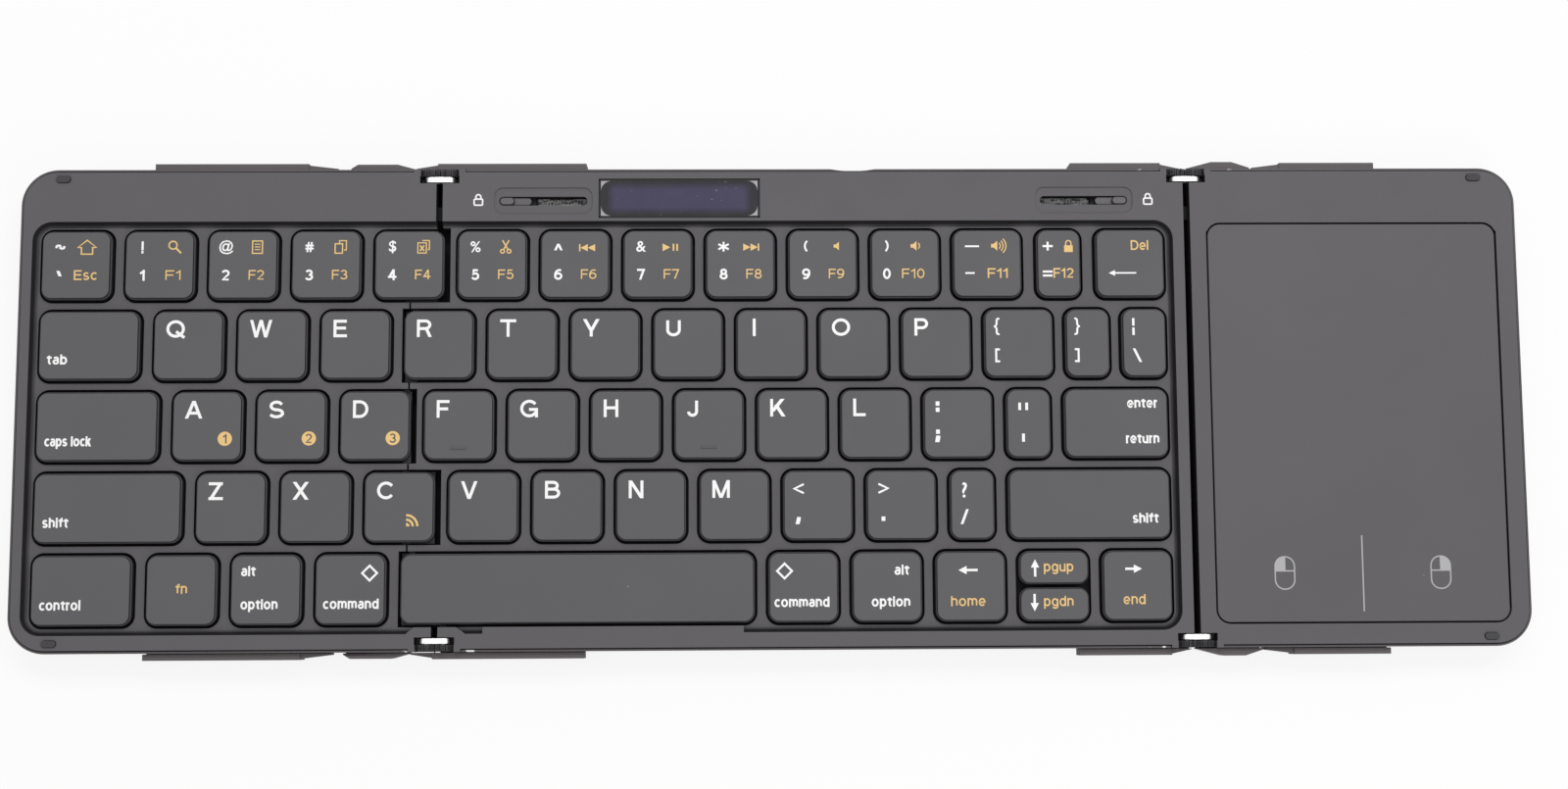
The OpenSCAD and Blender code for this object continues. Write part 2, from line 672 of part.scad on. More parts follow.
module lock_cuts(x, s) {
    mid = x + s * lock_slot[0] / 2;
    translate([mid, lock_y, top_z - dish_t]) linear_extrude(2)
        rounded(-lock_dish[0] / 2, -lock_dish[1] / 2, lock_dish[0], lock_dish[1], lock_dish[1] / 3);
    translate([mid, lock_y, skin_z - 1]) linear_extrude(4) pill(lock_slot[0], lock_slot[1]);
    // The bolt's way out through the skirt
    box(min(x, x - s * lock_x), max(x, x - s * lock_x), lock_y - 0.65, lock_y + 0.65,
        skin_z - 1.0, skin_z + EPS);
}
module display_hole() {
    translate([lens_cx - lens[0] / 2 - 0.05, lens_cy - lens[1] / 2 - 0.05, top_z - 0.12 - lens_t])
        cube([lens[0] + 0.1, lens[1] + 0.1, 5]);
    translate([lens_cx - lens[0] / 2 + 0.8, lens_cy - lens[1] / 2 + 0.5, skin_z - 1])
        cube([lens[0] - 1.6, lens[1] - 1.0, 5]);
}
module port_hole(gap) {
    translate([port_cx, back_y + 1, port_z + port_size[2] / 2]) rotate([90, 0, 0]) linear_extrude(6)
        rounded(-port_size[0] / 2 - gap, -port_size[2] / 2 - gap, port_size[0] + 2 * gap,
                port_size[2] + 2 * gap, port_size[2] / 2 - 0.3);
}
module port_scoop() {
    r = (pow(scoop[0] / 2, 2) + pow(scoop[1], 2)) / (2 * scoop[1]);
    translate([port_cx, back_y - scoop[1] + r, case_z + floor_t]) cylinder(h = FAR, r = r, $fn = 96);
}
module power_slot() {
    box(power_cx - power_knob[0] / 2 - fit_gap, power_cx + power_knob[0] / 2 + power_travel + fit_gap,
        back_y - 3, back_y + EPS, power_z - fit_gap, power_z + power_knob[1] + fit_gap);
}
module screw_holes(r, z1, z2) {
    for (x = screws_back) translate([x, screw_back_y, z1]) cylinder(h = z2 - z1, r = r);
    for (x = screws_front) translate([x, screw_front_y, z1]) cylinder(h = z2 - z1, r = r);
}
module centre_top_frame() {
    color("#67656a") difference() {
        union() {
            difference() {
                slab(plate_top, top_z) union() {
                    centre_outline(frame_in, 0);
                    intersection() {
                        centre_outline(0, 0);
                        union() {
                            knuckles(edge_c, fold_l + knuckle);
                            knuckles(fold_r - knuckle, edge_cr);
                        }
                    }
                }
                field_cut();
                strip_hollow(edge_c + skirt_t, edge_cr - skirt_t, edge_c + 8, edge_cr - 8, plate_top - EPS);
            }
            intersection() {
                slab(0, FAR) centre_outline(frame_in, 0);
                front_land();
            }
            slab(floor_z, plate_top + EPS) skirt_2d(1);
            for (x = screws_back) translate([x, screw_back_y, floor_z])
                cylinder(h = skin_z - floor_z + EPS, r = boss_r);
        }
        pockets(concat(CENTRE_KEYS, [UP_DOWN]));
        seam_pockets(false, [full_key(1, 3), SPACE]);
        hinge_cuts(fold_l, 1);
        hinge_cuts(fold_r, -1);
        lock_cuts(fold_l + lock_x, 1);
        lock_cuts(fold_r - lock_x, -1);
        fold_slots(edge_c - 1, edge_c + skirt_t + 1);
        fold_slots(edge_cr - skirt_t - 1, edge_cr + 1);
        display_hole();
        port_hole(0.1);
        power_slot();
        for (x = screws_back) translate([x, screw_back_y, floor_z - EPS])
            cylinder(h = skin_z - floor_z, r = screw_r[0] + pin_gap);
    }
}
module right_top_frame() {
    color("#67656a") difference() {
        union() {
            slab(plate_top, top_z) union() {
                right_outline(frame_in, 0);
                intersection() {
                    right_outline(0, 0);
                    knuckles(edge_r, fold_r + knuckle);
                }
            }
            slab(floor_z, plate_top + EPS) skirt_2d(2);
        }
        slab(pad_z - 0.02, FAR) rounded(pad_x, pad_front, pad_w, pad_d, pad_r);
        slab(0, FAR) difference() {
            rounded(pad_x + ledge_w, pad_front + ledge_w, pad_w - 2 * ledge_w, pad_d - 2 * ledge_w, pad_r - ledge_w);
        }
        // Room under the front edge for the touchpad's click
        box(pad_x, pad_x + pad_w, pad_front, pad_front + pad_d - 2 * ledge_w, pad_z - 0.7, top_z + 1);
        strip_hollow(edge_r + skirt_t, x_right - frame_in - skirt_t - 3, edge_r + 8, x_right - case_r,
                     plate_top - EPS);
        hinge_cuts(fold_r, 1);
        fold_slots(edge_r - 1, edge_r + skirt_t + 1);
        bumper_seats(x_right, -1);
    }
}

/* Switch plates, domes and keys */
plate_in = skirt_t + fit_gap;
module left_switch_plate() {
    color("#8d8f92") slab(plate_z, plate_top) left_outline(frame_in + plate_in, plate_in);
}
module centre_switch_plate() {
    color("#8d8f92") difference() {
        union() {
            slab(plate_z, plate_top) intersection() {
                centre_outline(frame_in + plate_in, plate_in);
                translate([-FAR, -FAR]) square([2 * FAR, FAR + row_back(0) + field_margin]);
            }
            for (x = screws_front) translate([x, screw_front_y, floor_z])
                cylinder(h = plate_z - floor_z + EPS, r = boss_r);
        }
        for (x = screws_front) translate([x, screw_front_y, floor_z - EPS])
            cylinder(h = plate_top - floor_z - 0.2, r = screw_r[0] + pin_gap);
    }
}
// A rubber dome inside a crossed pair of scissor frames
module key_switch(k) {
    rise = top_z - key_wall - plate_top;
    half_w = k[2] / 2 - key_wall;
    half_l = k[3] / 2 - key_wall;
    a = min(scissor[0], half_w - 0.3);
    l = min(scissor[1], 2 * half_l - 0.7);
    tilt = asin((rise - scissor_t - 0.04) / l);
    window = (l / 2 - scissor_t) * cos(tilt) - scissor_t / 2 * sin(tilt);
    r = min(dome_r, a - 2 * scissor_t - 0.3, window - 0.1);
    translate([k[0] + k[2] / 2, k[1] + k[3] / 2, plate_top]) {
        cylinder(h = rise * 0.7, r1 = r, r2 = r * 0.55);
        translate([0, 0, rise * 0.7 - EPS]) cylinder(h = rise * 0.3 + EPS, r = r * 0.5);
        for (q = [[a, 1], [a - scissor_t - 0.15, -1]])
            translate([0, 0, rise / 2]) rotate([q[1] * tilt, 0, 0]) difference() {
                cube([2 * q[0], l, scissor_t], center = true);
                cube([2 * (q[0] - scissor_t), l - 2 * scissor_t, 2 * scissor_t], center = true);
            }
    }
}
module key_switches(keys) {
    color("#b9b9ad") for (k = keys) key_switch(k);
}
module key_cap(k) {
    r = min(key_r, k[3] / 3);
    translate([k[0] + k[2] / 2, k[1] + k[3] / 2, cap_z]) difference() {
        bevelled(k[2], k[3], r, key_h, key_bevel);
        translate([0, 0, -EPS]) linear_extrude(key_h - key_wall + EPS)
            rounded(key_wall - k[2] / 2, key_wall - k[3] / 2, k[2] - 2 * key_wall,
                    k[3] - 2 * key_wall, r - key_wall);
    }
}
module keys(list) {
    color("#69696b") for (k = list) key_cap(k);
}
module letter_key(r, i) {
    k = full_key(r, i);
    letter = LETTERS[r][i];
    color("#69696b") {
        key_cap(k);
        if (letter == "f" || letter == "j") box(
            k[0] + (k[2] - homing[0]) / 2, k[0] + (k[2] + homing[0]) / 2,
            k[1] + 2.2, k[1] + 2.7, top_z - EPS, top_z + homing[1]);
    }
}

/* Hinges */
function gear_angle(k) = k * 360 / teeth;
module gear_2d(phase) {
    pitch_a = 360 / teeth;
    root = pitch_r - tooth_in;
    tip = pitch_r + tooth_out;
    polygon([for (k = [0 : teeth - 1]) for (q = [[-0.27, root], [-0.12, tip], [0.12, tip], [0.27, root]])
        let(a = phase + gear_angle(k) + q[0] * pitch_a) [q[1] * cos(a), q[1] * sin(a)]]);
}
// A toothed end and its arm, at the back edge. side is -1 when the arm points to -X.
module hinge_arm(axle_x, side, phase) {
    difference() {
        union() {
            translate([axle_x, gear_y + gear_t, axle_z]) rotate([90, 0, 0]) linear_extrude(gear_t)
                gear_2d(phase);
            box(min(axle_x, axle_x + side * arm_l), max(axle_x, axle_x + side * arm_l),
                gear_y, gear_y + arm_size[0], arm_z, arm_z + arm_size[1]);
        }
        translate([axle_x, gear_y + gear_t + 1, axle_z]) rotate([90, 0, 0])
            cylinder(h = gear_t + 2, r = pin_r + pin_gap);
    }
}
module hinge_link(fold) {
    for (s = [-1, 1]) translate([fold + s * pitch_r, link_y + link_t / 2, axle_z]) rotate([90, 0, 0])
        cylinder(h = link_t, r = link_r);
    box(fold - pitch_r, fold + pitch_r, link_y - link_t / 2, link_y + link_t / 2,
        axle_z - link_r, axle_z + link_r);
    for (s = [-1, 1]) translate([fold + s * pitch_r, gear_y + gear_t, axle_z]) rotate([90, 0, 0])
        cylinder(h = gear_y + gear_t - link_y, r = pin_r);
}
module left_hinge_links() { color("#e8e8e6") both_edges() hinge_link(fold_l); }
module right_hinge_links() { color("#e8e8e6") both_edges() hinge_link(fold_r); }
module left_hinge_arms() { color("#8a898a") both_edges() hinge_arm(fold_l - pitch_r, -1, 0); }
module centre_hinge_arms() {
    color("#8a898a") both_edges() {
        hinge_arm(fold_l + pitch_r, 1, 180 / teeth);
        hinge_arm(fold_r - pitch_r, -1, 180 / teeth);
    }
}
module right_hinge_arms() { color("#8a898a") both_edges() hinge_arm(fold_r + pitch_r, 1, 0); }

/* Locks, switch, display, board */
// x is the outer end of the slot and s points along the travel
module lock_slider(x, s) {
    color("#5f5d60") {
        a = x + s * 0.1;
        b = a + s * knob_l[1];
        box(min(a, b) - lock_base, max(a, b) + lock_base, lock_y - 1.6, lock_y + 1.6,
            skin_z - 0.9, skin_z - fit_gap);
        translate([(a + b) / 2, lock_y, skin_z - 0.5]) linear_extrude(0.5 + skin_t - 0.75)
            pill(knob_l[1], lock_slot[1] - 0.2);
        translate([a + s * knob_l[0] / 2, lock_y, skin_z]) linear_extrude(skin_t - 0.15)
            pill(knob_l[0], lock_slot[1] - 0.2);
        tip = x - s * (lock_x - fold_gap / 2 - 0.2);
        box(min(a, tip), max(a, tip), lock_y - 0.5, lock_y + 0.5, skin_z - 0.8, skin_z - fit_gap);
    }
}
module power_switch() {
    color("#5f5d60") box(power_cx - power_knob[0] / 2, power_cx + power_knob[0] / 2,
        back_y - 2.1, back_y + power_out, power_z, power_z + power_knob[1]);
}
module display() {
    color("#54506a") {
        translate([lens_cx, lens_cy, top_z - 0.12 - lens_t]) linear_extrude(lens_t)
            rounded(-lens[0] / 2, -lens[1] / 2, lens[0], lens[1], 0.6);
        box(lens_cx - lens[0] / 2 + 1, lens_cx + lens[0] / 2 - 1, lens_cy - lens[1] / 2 + 0.8,
            lens_cy + lens[1] / 2 - 0.8, skin_z - 0.9, top_z - 0.12 - lens_t + EPS);
    }
}
board_x1 = edge_c + skirt_t + 1;
board_x2 = edge_cr - skirt_t - 1;
board_y2 = back_y - frame_in - skirt_t - 0.2;
module circuit_board() {
    color("#2f5d43") difference() {
        union() {
            box(board_x1, board_x2, strip_y + 0.2, board_y2, board_z, board_top);
            // Chips, the display's connector and the body of the power switch
            for (c = chip_x) box(fold_l + c - chip_size[0] / 2, fold_l + c + chip_size[0] / 2, strip_y + 1,
                                 strip_y + 1 + chip_size[0], board_top - EPS, board_top + chip_size[1]);
            box(lens_cx - 11, lens_cx - 3, strip_y + 1, strip_y + 3, board_top - EPS, board_top + 1.2);
            box(power_cx - 3, power_cx + 3 + power_travel, board_y2 - 2.6, back_y - 2.2,
                board_top - EPS, board_top + 2.2);
            // Shell of the charging port
            difference() {
                port_shell(0, 0);
                port_shell(0.3, 6);
            }
            box(port_cx - 3.2, port_cx + 3.2, back_y - 1 - 4.5, back_y - 2, port_z + 1.3, port_z + 1.95);
            box(port_cx - 3.2, port_cx + 3.2, back_y - port_size[1], back_y - 1 - 4.4, port_z, port_z + 3);
        }
        for (x = screws_back) translate([x, screw_back_y, board_z - EPS])
            cylinder(h = board_t + 2 * EPS, r = boss_r + 0.2);
    }
}
// The shell stands on the board with its mouth 0.6 mm inside the cover's wall
module port_shell(inset, deep) {
    translate([port_cx, back_y - frame_in - 0.15 + (deep > 0 ? 1 : 0), port_z + port_size[2] / 2])
        rotate([90, 0, 0]) linear_extrude(deep > 0 ? deep + 1 : port_size[1] - frame_in)
            rounded(-port_size[0] / 2 + inset, -port_size[2] / 2 + inset, port_size[0] - 2 * inset,
                    port_size[2] - 2 * inset, port_size[2] / 2 - 0.3 - inset);
}
module battery() {
    color("#9ea3a8") slab(floor_z, floor_z + battery_size[2])
        rounded(pad_x + (pad_w - battery_size[0]) / 2, pad_front + (pad_d - battery_size[1]) / 2,
                battery_size[0], battery_size[1], 2);
}
module touchpad() {
    color("#69676a") slab(pad_z, pad_z + pad_t) rounded(pad_x + pad_gap, pad_front + pad_gap,
        pad_w - 2 * pad_gap, pad_d - 2 * pad_gap, pad_r - pad_gap);
}
module flex(fold, down_z) {
    z = skin_z - 0.4;
    half = flex_w / 2;
    box(fold - 5.5, fold + 5.5, flex_y - half, flex_y + half, z, z + flex_t);
    box(fold - 5.5, fold - 5.5 + flex_t, flex_y - half, flex_y + half, down_z[0], z + EPS);
    box(fold + 5.5 - flex_t, fold + 5.5, flex_y - half, flex_y + half, down_z[1], z + EPS);
}
module flex_cables() {
    color("#1d1c1e") {
        flex(fold_l, [plate_top, board_top]);
        flex(fold_r, [board_top, floor_z]);
    }
}

/* Rubber and screws */
module feet(xs) {
    for (x = xs) both_edges() translate([x, back_y - 9, 0]) linear_extrude(foot_h)
        pill(foot_size[0], foot_size[1]);
}
module bumpers(side_x, s) {
    both_edges() translate([side_x + s * bumper_at[0], back_y - bumper_at[1], top_z - 0.8])
        linear_extrude(0.8 + bumper_out) pill(bumper_size[0], bumper_size[1]);
}
module left_rubber_pads() {
    color("#3b3a3d") {
        bumpers(x_left, 1);
        feet([x_left + 17, fold_l - 20]);
    }
}
module centre_rubber_pads() {
    color("#3b3a3d") feet([fold_l + 24, (fold_l + fold_r) / 2, fold_r - 24]);
}
module right_rubber_pads() {
    color("#3b3a3d") {
        bumpers(x_right, -1);
        feet([fold_r + 16, x_right - 17]);
    }
}
module screw(x, y, z2) {
    translate([x, y, case_z + 0.02]) cylinder(h = screw_head_t, r = screw_r[1]);
    translate([x, y, case_z + 0.02]) cylinder(h = z2 - case_z - 0.02, r = screw_r[0]);
}
module case_screws() {
    color("#b5b5b3") {
        for (x = screws_back) screw(x, screw_back_y, skin_z - 0.4);
        for (x = screws_front) screw(x, screw_front_y, plate_top - 0.4);
    }
}

LETTER_NODES = [for (r = [1 : 3]) for (i = [0 : len(LETTERS[r]) - 1]) str("key_", LETTERS[r][i])];

left_bottom_cover();
left_top_frame();
left_switch_plate();
key_switches(LEFT_KEYS);  // left_key_switches
centre_bottom_cover();
centre_top_frame();
centre_switch_plate();
key_switches(CENTRE_KEYS);  // centre_key_switches
right_bottom_cover();
right_top_frame();
touchpad();
battery();
circuit_board();
power_switch();
display();
lock_slider(fold_l + lock_x, 1);  // left_lock_slider
lock_slider(fold_r - lock_x, -1);  // right_lock_slider
left_hinge_links();
right_hinge_links();
left_hinge_arms();
centre_hinge_arms();
right_hinge_arms();
left_rubber_pads();
centre_rubber_pads();
right_rubber_pads();
case_screws();
flex_cables();
keys(LEFT_NUMBERS);  // left_number_keys
keys(LEFT_MODIFIERS);  // left_modifier_keys
keys(RIGHT_NUMBERS);  // right_number_keys
keys(PUNCTUATION);  // punctuation_keys
keys(RIGHT_MODIFIERS);  // right_modifier_keys
keys(ARROWS);  // arrow_keys
keys([SPACE]);  // space_bar
for (r = [1 : 3], i = [0 : len(LETTERS[r]) - 1])
    letter_key(r, i);
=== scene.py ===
"""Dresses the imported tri-fold keyboard: key caps, lettering, case, hinges, touchpad, display and studio.

Lengths in the classes are millimetres, in the frame's own axes: +X to the right, +Y to the back edge and +Z up.
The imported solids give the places. Each class builds the pieces of one sub-assembly and dresses them.
"""

from __future__ import annotations

import json
import logging
import math
from dataclasses import dataclass, field
from enum import Enum
from typing import Callable, Sequence

import bmesh
import bpy
from mathutils import Euler, Vector
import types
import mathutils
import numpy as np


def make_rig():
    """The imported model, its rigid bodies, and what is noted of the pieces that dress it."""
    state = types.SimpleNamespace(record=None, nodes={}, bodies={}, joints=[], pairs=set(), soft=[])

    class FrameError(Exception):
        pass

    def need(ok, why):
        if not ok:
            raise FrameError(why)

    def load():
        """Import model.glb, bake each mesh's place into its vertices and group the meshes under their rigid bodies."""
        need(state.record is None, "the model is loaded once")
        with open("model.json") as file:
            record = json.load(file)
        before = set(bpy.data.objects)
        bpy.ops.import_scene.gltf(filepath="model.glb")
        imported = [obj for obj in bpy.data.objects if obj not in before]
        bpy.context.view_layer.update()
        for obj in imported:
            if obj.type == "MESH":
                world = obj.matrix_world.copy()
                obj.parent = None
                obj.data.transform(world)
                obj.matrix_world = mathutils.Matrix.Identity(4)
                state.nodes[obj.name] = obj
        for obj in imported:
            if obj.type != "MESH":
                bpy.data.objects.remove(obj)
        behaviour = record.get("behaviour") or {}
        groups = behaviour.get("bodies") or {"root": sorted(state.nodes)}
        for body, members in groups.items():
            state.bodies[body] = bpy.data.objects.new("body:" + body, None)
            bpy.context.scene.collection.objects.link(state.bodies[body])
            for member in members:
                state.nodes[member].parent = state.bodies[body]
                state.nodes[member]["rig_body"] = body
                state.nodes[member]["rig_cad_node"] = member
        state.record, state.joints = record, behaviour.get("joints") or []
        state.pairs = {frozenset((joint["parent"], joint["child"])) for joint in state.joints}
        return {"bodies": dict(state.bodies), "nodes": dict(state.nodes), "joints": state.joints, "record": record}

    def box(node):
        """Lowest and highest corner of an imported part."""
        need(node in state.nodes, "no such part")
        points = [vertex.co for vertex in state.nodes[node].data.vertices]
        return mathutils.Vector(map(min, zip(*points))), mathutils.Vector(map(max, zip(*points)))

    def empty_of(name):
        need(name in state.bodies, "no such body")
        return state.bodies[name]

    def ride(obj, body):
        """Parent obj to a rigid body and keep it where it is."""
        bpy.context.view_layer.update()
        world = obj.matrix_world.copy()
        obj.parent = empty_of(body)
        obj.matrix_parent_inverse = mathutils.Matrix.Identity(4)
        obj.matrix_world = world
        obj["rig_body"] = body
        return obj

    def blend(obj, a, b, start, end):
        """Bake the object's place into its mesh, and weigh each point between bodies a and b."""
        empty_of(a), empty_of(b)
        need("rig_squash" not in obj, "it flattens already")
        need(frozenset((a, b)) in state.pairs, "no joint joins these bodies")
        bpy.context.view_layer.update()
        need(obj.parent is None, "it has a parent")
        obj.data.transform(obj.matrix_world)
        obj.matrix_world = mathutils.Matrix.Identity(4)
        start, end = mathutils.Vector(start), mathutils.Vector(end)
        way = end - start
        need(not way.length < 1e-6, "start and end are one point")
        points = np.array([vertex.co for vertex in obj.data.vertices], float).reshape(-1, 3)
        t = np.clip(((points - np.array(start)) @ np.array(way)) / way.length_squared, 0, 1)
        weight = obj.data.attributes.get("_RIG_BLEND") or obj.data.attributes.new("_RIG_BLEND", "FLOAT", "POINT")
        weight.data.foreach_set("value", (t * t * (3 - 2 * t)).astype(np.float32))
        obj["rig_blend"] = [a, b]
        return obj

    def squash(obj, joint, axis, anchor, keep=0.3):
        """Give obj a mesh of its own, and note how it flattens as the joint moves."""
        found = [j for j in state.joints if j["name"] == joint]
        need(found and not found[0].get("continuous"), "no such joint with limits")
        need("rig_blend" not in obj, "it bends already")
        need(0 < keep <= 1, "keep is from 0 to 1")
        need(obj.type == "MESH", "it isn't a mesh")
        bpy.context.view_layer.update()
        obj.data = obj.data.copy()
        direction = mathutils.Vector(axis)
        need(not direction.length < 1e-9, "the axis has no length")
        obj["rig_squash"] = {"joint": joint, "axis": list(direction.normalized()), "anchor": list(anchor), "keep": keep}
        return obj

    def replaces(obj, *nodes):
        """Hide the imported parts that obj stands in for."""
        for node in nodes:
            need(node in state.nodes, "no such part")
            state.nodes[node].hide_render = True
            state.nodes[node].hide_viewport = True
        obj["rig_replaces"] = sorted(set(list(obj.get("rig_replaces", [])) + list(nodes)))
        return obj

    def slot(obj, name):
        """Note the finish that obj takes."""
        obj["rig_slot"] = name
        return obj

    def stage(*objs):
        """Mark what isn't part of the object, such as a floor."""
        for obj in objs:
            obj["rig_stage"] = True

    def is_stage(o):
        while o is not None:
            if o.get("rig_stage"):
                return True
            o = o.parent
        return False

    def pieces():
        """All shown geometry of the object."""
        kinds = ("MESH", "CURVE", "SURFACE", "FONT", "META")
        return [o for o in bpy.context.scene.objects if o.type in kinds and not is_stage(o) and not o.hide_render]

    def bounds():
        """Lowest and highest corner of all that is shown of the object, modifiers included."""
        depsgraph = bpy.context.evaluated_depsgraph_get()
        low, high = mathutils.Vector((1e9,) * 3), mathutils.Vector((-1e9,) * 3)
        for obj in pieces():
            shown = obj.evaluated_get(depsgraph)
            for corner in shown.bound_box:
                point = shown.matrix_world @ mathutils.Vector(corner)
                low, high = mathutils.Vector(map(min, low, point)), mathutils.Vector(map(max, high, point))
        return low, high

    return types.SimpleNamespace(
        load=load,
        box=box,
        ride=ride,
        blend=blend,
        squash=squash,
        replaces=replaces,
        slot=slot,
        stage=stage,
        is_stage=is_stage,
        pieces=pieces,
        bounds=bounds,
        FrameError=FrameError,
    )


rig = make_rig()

LOG = logging.getLogger("keyboard")
MM = 0.001
SIZE_FILE = "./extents.json"
# Nearly all the values of a noise texture lie between these.
NOISE_SPAN = (0.3, 0.7)
# A plate's flat top starts this far inside its rounded edge, so that the shading stays flat.
FACE_MARGIN = 0.06

Point = tuple[float, float]
Ring = list[Point]
Level = tuple[Ring, float]
Glyph = tuple[list[Vector], list[tuple[int, ...]]]
Triple = tuple[float, float, float]
Colour = tuple[float, float, float, float]
Tree = bpy.types.NodeTree
Node = bpy.types.Node
Socket = bpy.types.NodeSocket


# ---------------- materials


def linear(hex_colour: str) -> Colour:
    """Turns an sRGB hex value into a linear colour.

    Args:
        hex_colour: Six hex digits after a hash sign.

    Returns:
        Red, green, blue and alpha for a shader's socket.
    """
    levels = [int(hex_colour[i : i + 2], 16) / 255 for i in (1, 3, 5)]
    red, green, blue = (c / 12.92 if c <= 0.04045 else ((c + 0.055) / 1.055) ** 2.4 for c in levels)
    return (red, green, blue, 1.0)


def shaded(colour: Colour, factor: float) -> Colour:
    """Makes a linear colour lighter or darker by a factor."""
    return (colour[0] * factor, colour[1] * factor, colour[2] * factor, 1.0)


def add_node(tree: Tree, kind: str, inputs: dict[str | int, object] | None = None, **settings: object) -> Node:
    """Adds a node with its settings and links.

    Args:
        tree: The tree that takes the node.
        kind: Blender's identifier of the node type.
        inputs: Sockets by name or number, each with a value or an output socket to link.
        settings: Properties of the node itself.

    Returns:
        The new node.
    """
    node = tree.nodes.new(kind)
    for name, value in settings.items():
        setattr(node, name, value)
    for key, value in (inputs or {}).items():
        if isinstance(value, Socket):
            tree.links.new(value, node.inputs[key])
        else:
            node.inputs[key].default_value = value
    return node


def span(low: float, high: float, first: float = 0.0, last: float = 1.0) -> dict[str, float]:
    """Inputs that turn what lies between low and high into what lies between first and last."""
    return {"From Min": low, "From Max": high, "To Min": first, "To Max": last}


def distance_from(tree: Tree, value: Socket, middle: float) -> Socket:
    """Returns how far a coordinate lies from a middle, which is in millimetres."""
    off = add_node(tree, "ShaderNodeMath", {0: value, 1: middle * MM}, operation="SUBTRACT")
    return add_node(tree, "ShaderNodeMath", {0: off.outputs["Value"]}, operation="ABSOLUTE").outputs["Value"]


def raise_surface(tree: Tree, shader: Node, pattern: Socket, microns: float) -> None:
    """Gives a shader the fine relief of a pattern, whose full height is in thousandths of a millimetre."""
    bump = add_node(tree, "ShaderNodeBump", {"Strength": 1.0, "Distance": microns * MM * MM, "Height": pattern})
    tree.links.new(bump.outputs["Normal"], shader.inputs["Normal"])


@dataclass(frozen=True)
class Finish:
    """A real material with the way its surface was made."""

    name: str
    colour: str
    roughness: float
    metallic: float = 0.0
    ior: float = 1.5
    specular: float = 0.5

    def material(self) -> bpy.types.Material:
        """Builds the material once and hands it out again after that.

        Returns:
            The material.
        """
        if self.name in bpy.data.materials:
            return bpy.data.materials[self.name]
        material = bpy.data.materials.new(self.name)
        material.use_nodes = True
        material.diffuse_color = linear(self.colour)
        tree = material.node_tree
        tree.nodes.clear()
        sockets = {
            "Base Color": linear(self.colour),
            "Roughness": self.roughness,
            "Metallic": self.metallic,
            "Specular IOR Level": self.specular,
        }
        if not self.metallic:
            sockets["IOR"] = self.ior
        shader = add_node(tree, "ShaderNodeBsdfPrincipled", sockets)
        add_node(tree, "ShaderNodeOutputMaterial", {"Surface": shader.outputs["BSDF"]})
        self.dress(tree, shader)
        return material

    def dress(self, tree: Tree, shader: Node) -> None:
        """Adds the surface detail. A plain finish has none."""


@dataclass(frozen=True)
class Moulded(Finish):
    """Moulded or painted surface: fine grain, soft clouds of shade, handling marks and dust."""

    grain_mm: float = 0.3
    grain_um: float = 6.0
    cloud: float = 0.04
    cloud_mm: float = 25.0
    dust: float = 0.0
    dust_mm: float = 7.0
    dust_colour: str = "#b9b8ba"
    speck: Point = (0.010, 0.018)
    smudge: float = 0.06
    smudge_size: float = 0.4

    def dress(self, tree: Tree, shader: Node) -> None:
        """Links the clouds, the dust, the smudges and the grain to the shader.

        Args:
            tree: The material's nodes.
            shader: The surface shader.
        """
        place = add_node(tree, "ShaderNodeTexCoord").outputs["Object"]
        colour = self.clouded(tree, place)
        if self.dust:
            colour = self.dusted(tree, place, colour)
        tree.links.new(colour, shader.inputs["Base Color"])
        marks = {"Vector": place, "Scale": 1 / (self.smudge_size * self.cloud_mm * MM), "Detail": 4.0}
        smudge = add_node(tree, "ShaderNodeTexNoise", marks)
        limits = span(*NOISE_SPAN, self.roughness - self.smudge, self.roughness + self.smudge)
        rough = add_node(tree, "ShaderNodeMapRange", {"Value": smudge.outputs["Fac"], **limits})
        tree.links.new(rough.outputs["Result"], shader.inputs["Roughness"])
        fine = {"Vector": place, "Scale": 1 / (self.grain_mm * MM), "Detail": 2.0}
        raise_surface(tree, shader, add_node(tree, "ShaderNodeTexNoise", fine).outputs["Fac"], self.grain_um)

    def clouded(self, tree: Tree, place: Socket) -> Socket:
        """Returns the colour with its slow variation.

        Args:
            tree: The material's nodes.
            place: The place on the piece.

        Returns:
            The colour.
        """
        base = linear(self.colour)
        slow = {"Vector": place, "Scale": 1 / (self.cloud_mm * MM), "Detail": 5.0}
        cloud = add_node(tree, "ShaderNodeTexNoise", slow)
        sides = {0: cloud.outputs["Fac"], 6: shaded(base, 1 - 2 * self.cloud), 7: shaded(base, 1 + 2 * self.cloud)}
        return add_node(tree, "ShaderNodeMix", sides, data_type="RGBA").outputs[2]

    def dusted(self, tree: Tree, place: Socket, colour: Socket) -> Socket:
        """Returns the colour with sparse pale specks of dust on it.

        Args:
            tree: The material's nodes.
            place: The place on the piece.
            colour: What the dust lies on.

        Returns:
            The colour.
        """
        spread = {"Vector": place, "Scale": 1 / (self.dust_mm * MM)}
        cells = add_node(tree, "ShaderNodeTexVoronoi", spread, feature="F1")
        close = {"Value": cells.outputs["Distance"], **span(*self.speck, 1.0, 0.0)}
        near = add_node(tree, "ShaderNodeMapRange", close)
        chance = add_node(tree, "ShaderNodeSeparateColor", {"Color": cells.outputs["Color"]}).outputs["Red"]
        some = add_node(tree, "ShaderNodeMath", {0: chance, 1: 1 - self.dust}, operation="GREATER_THAN")
        both = {0: near.outputs["Result"], 1: some.outputs["Value"]}
        share = add_node(tree, "ShaderNodeMath", both, operation="MULTIPLY").outputs["Value"]
        sides = {0: share, 6: colour, 7: linear(self.dust_colour)}
        return add_node(tree, "ShaderNodeMix", sides, data_type="RGBA").outputs[2]


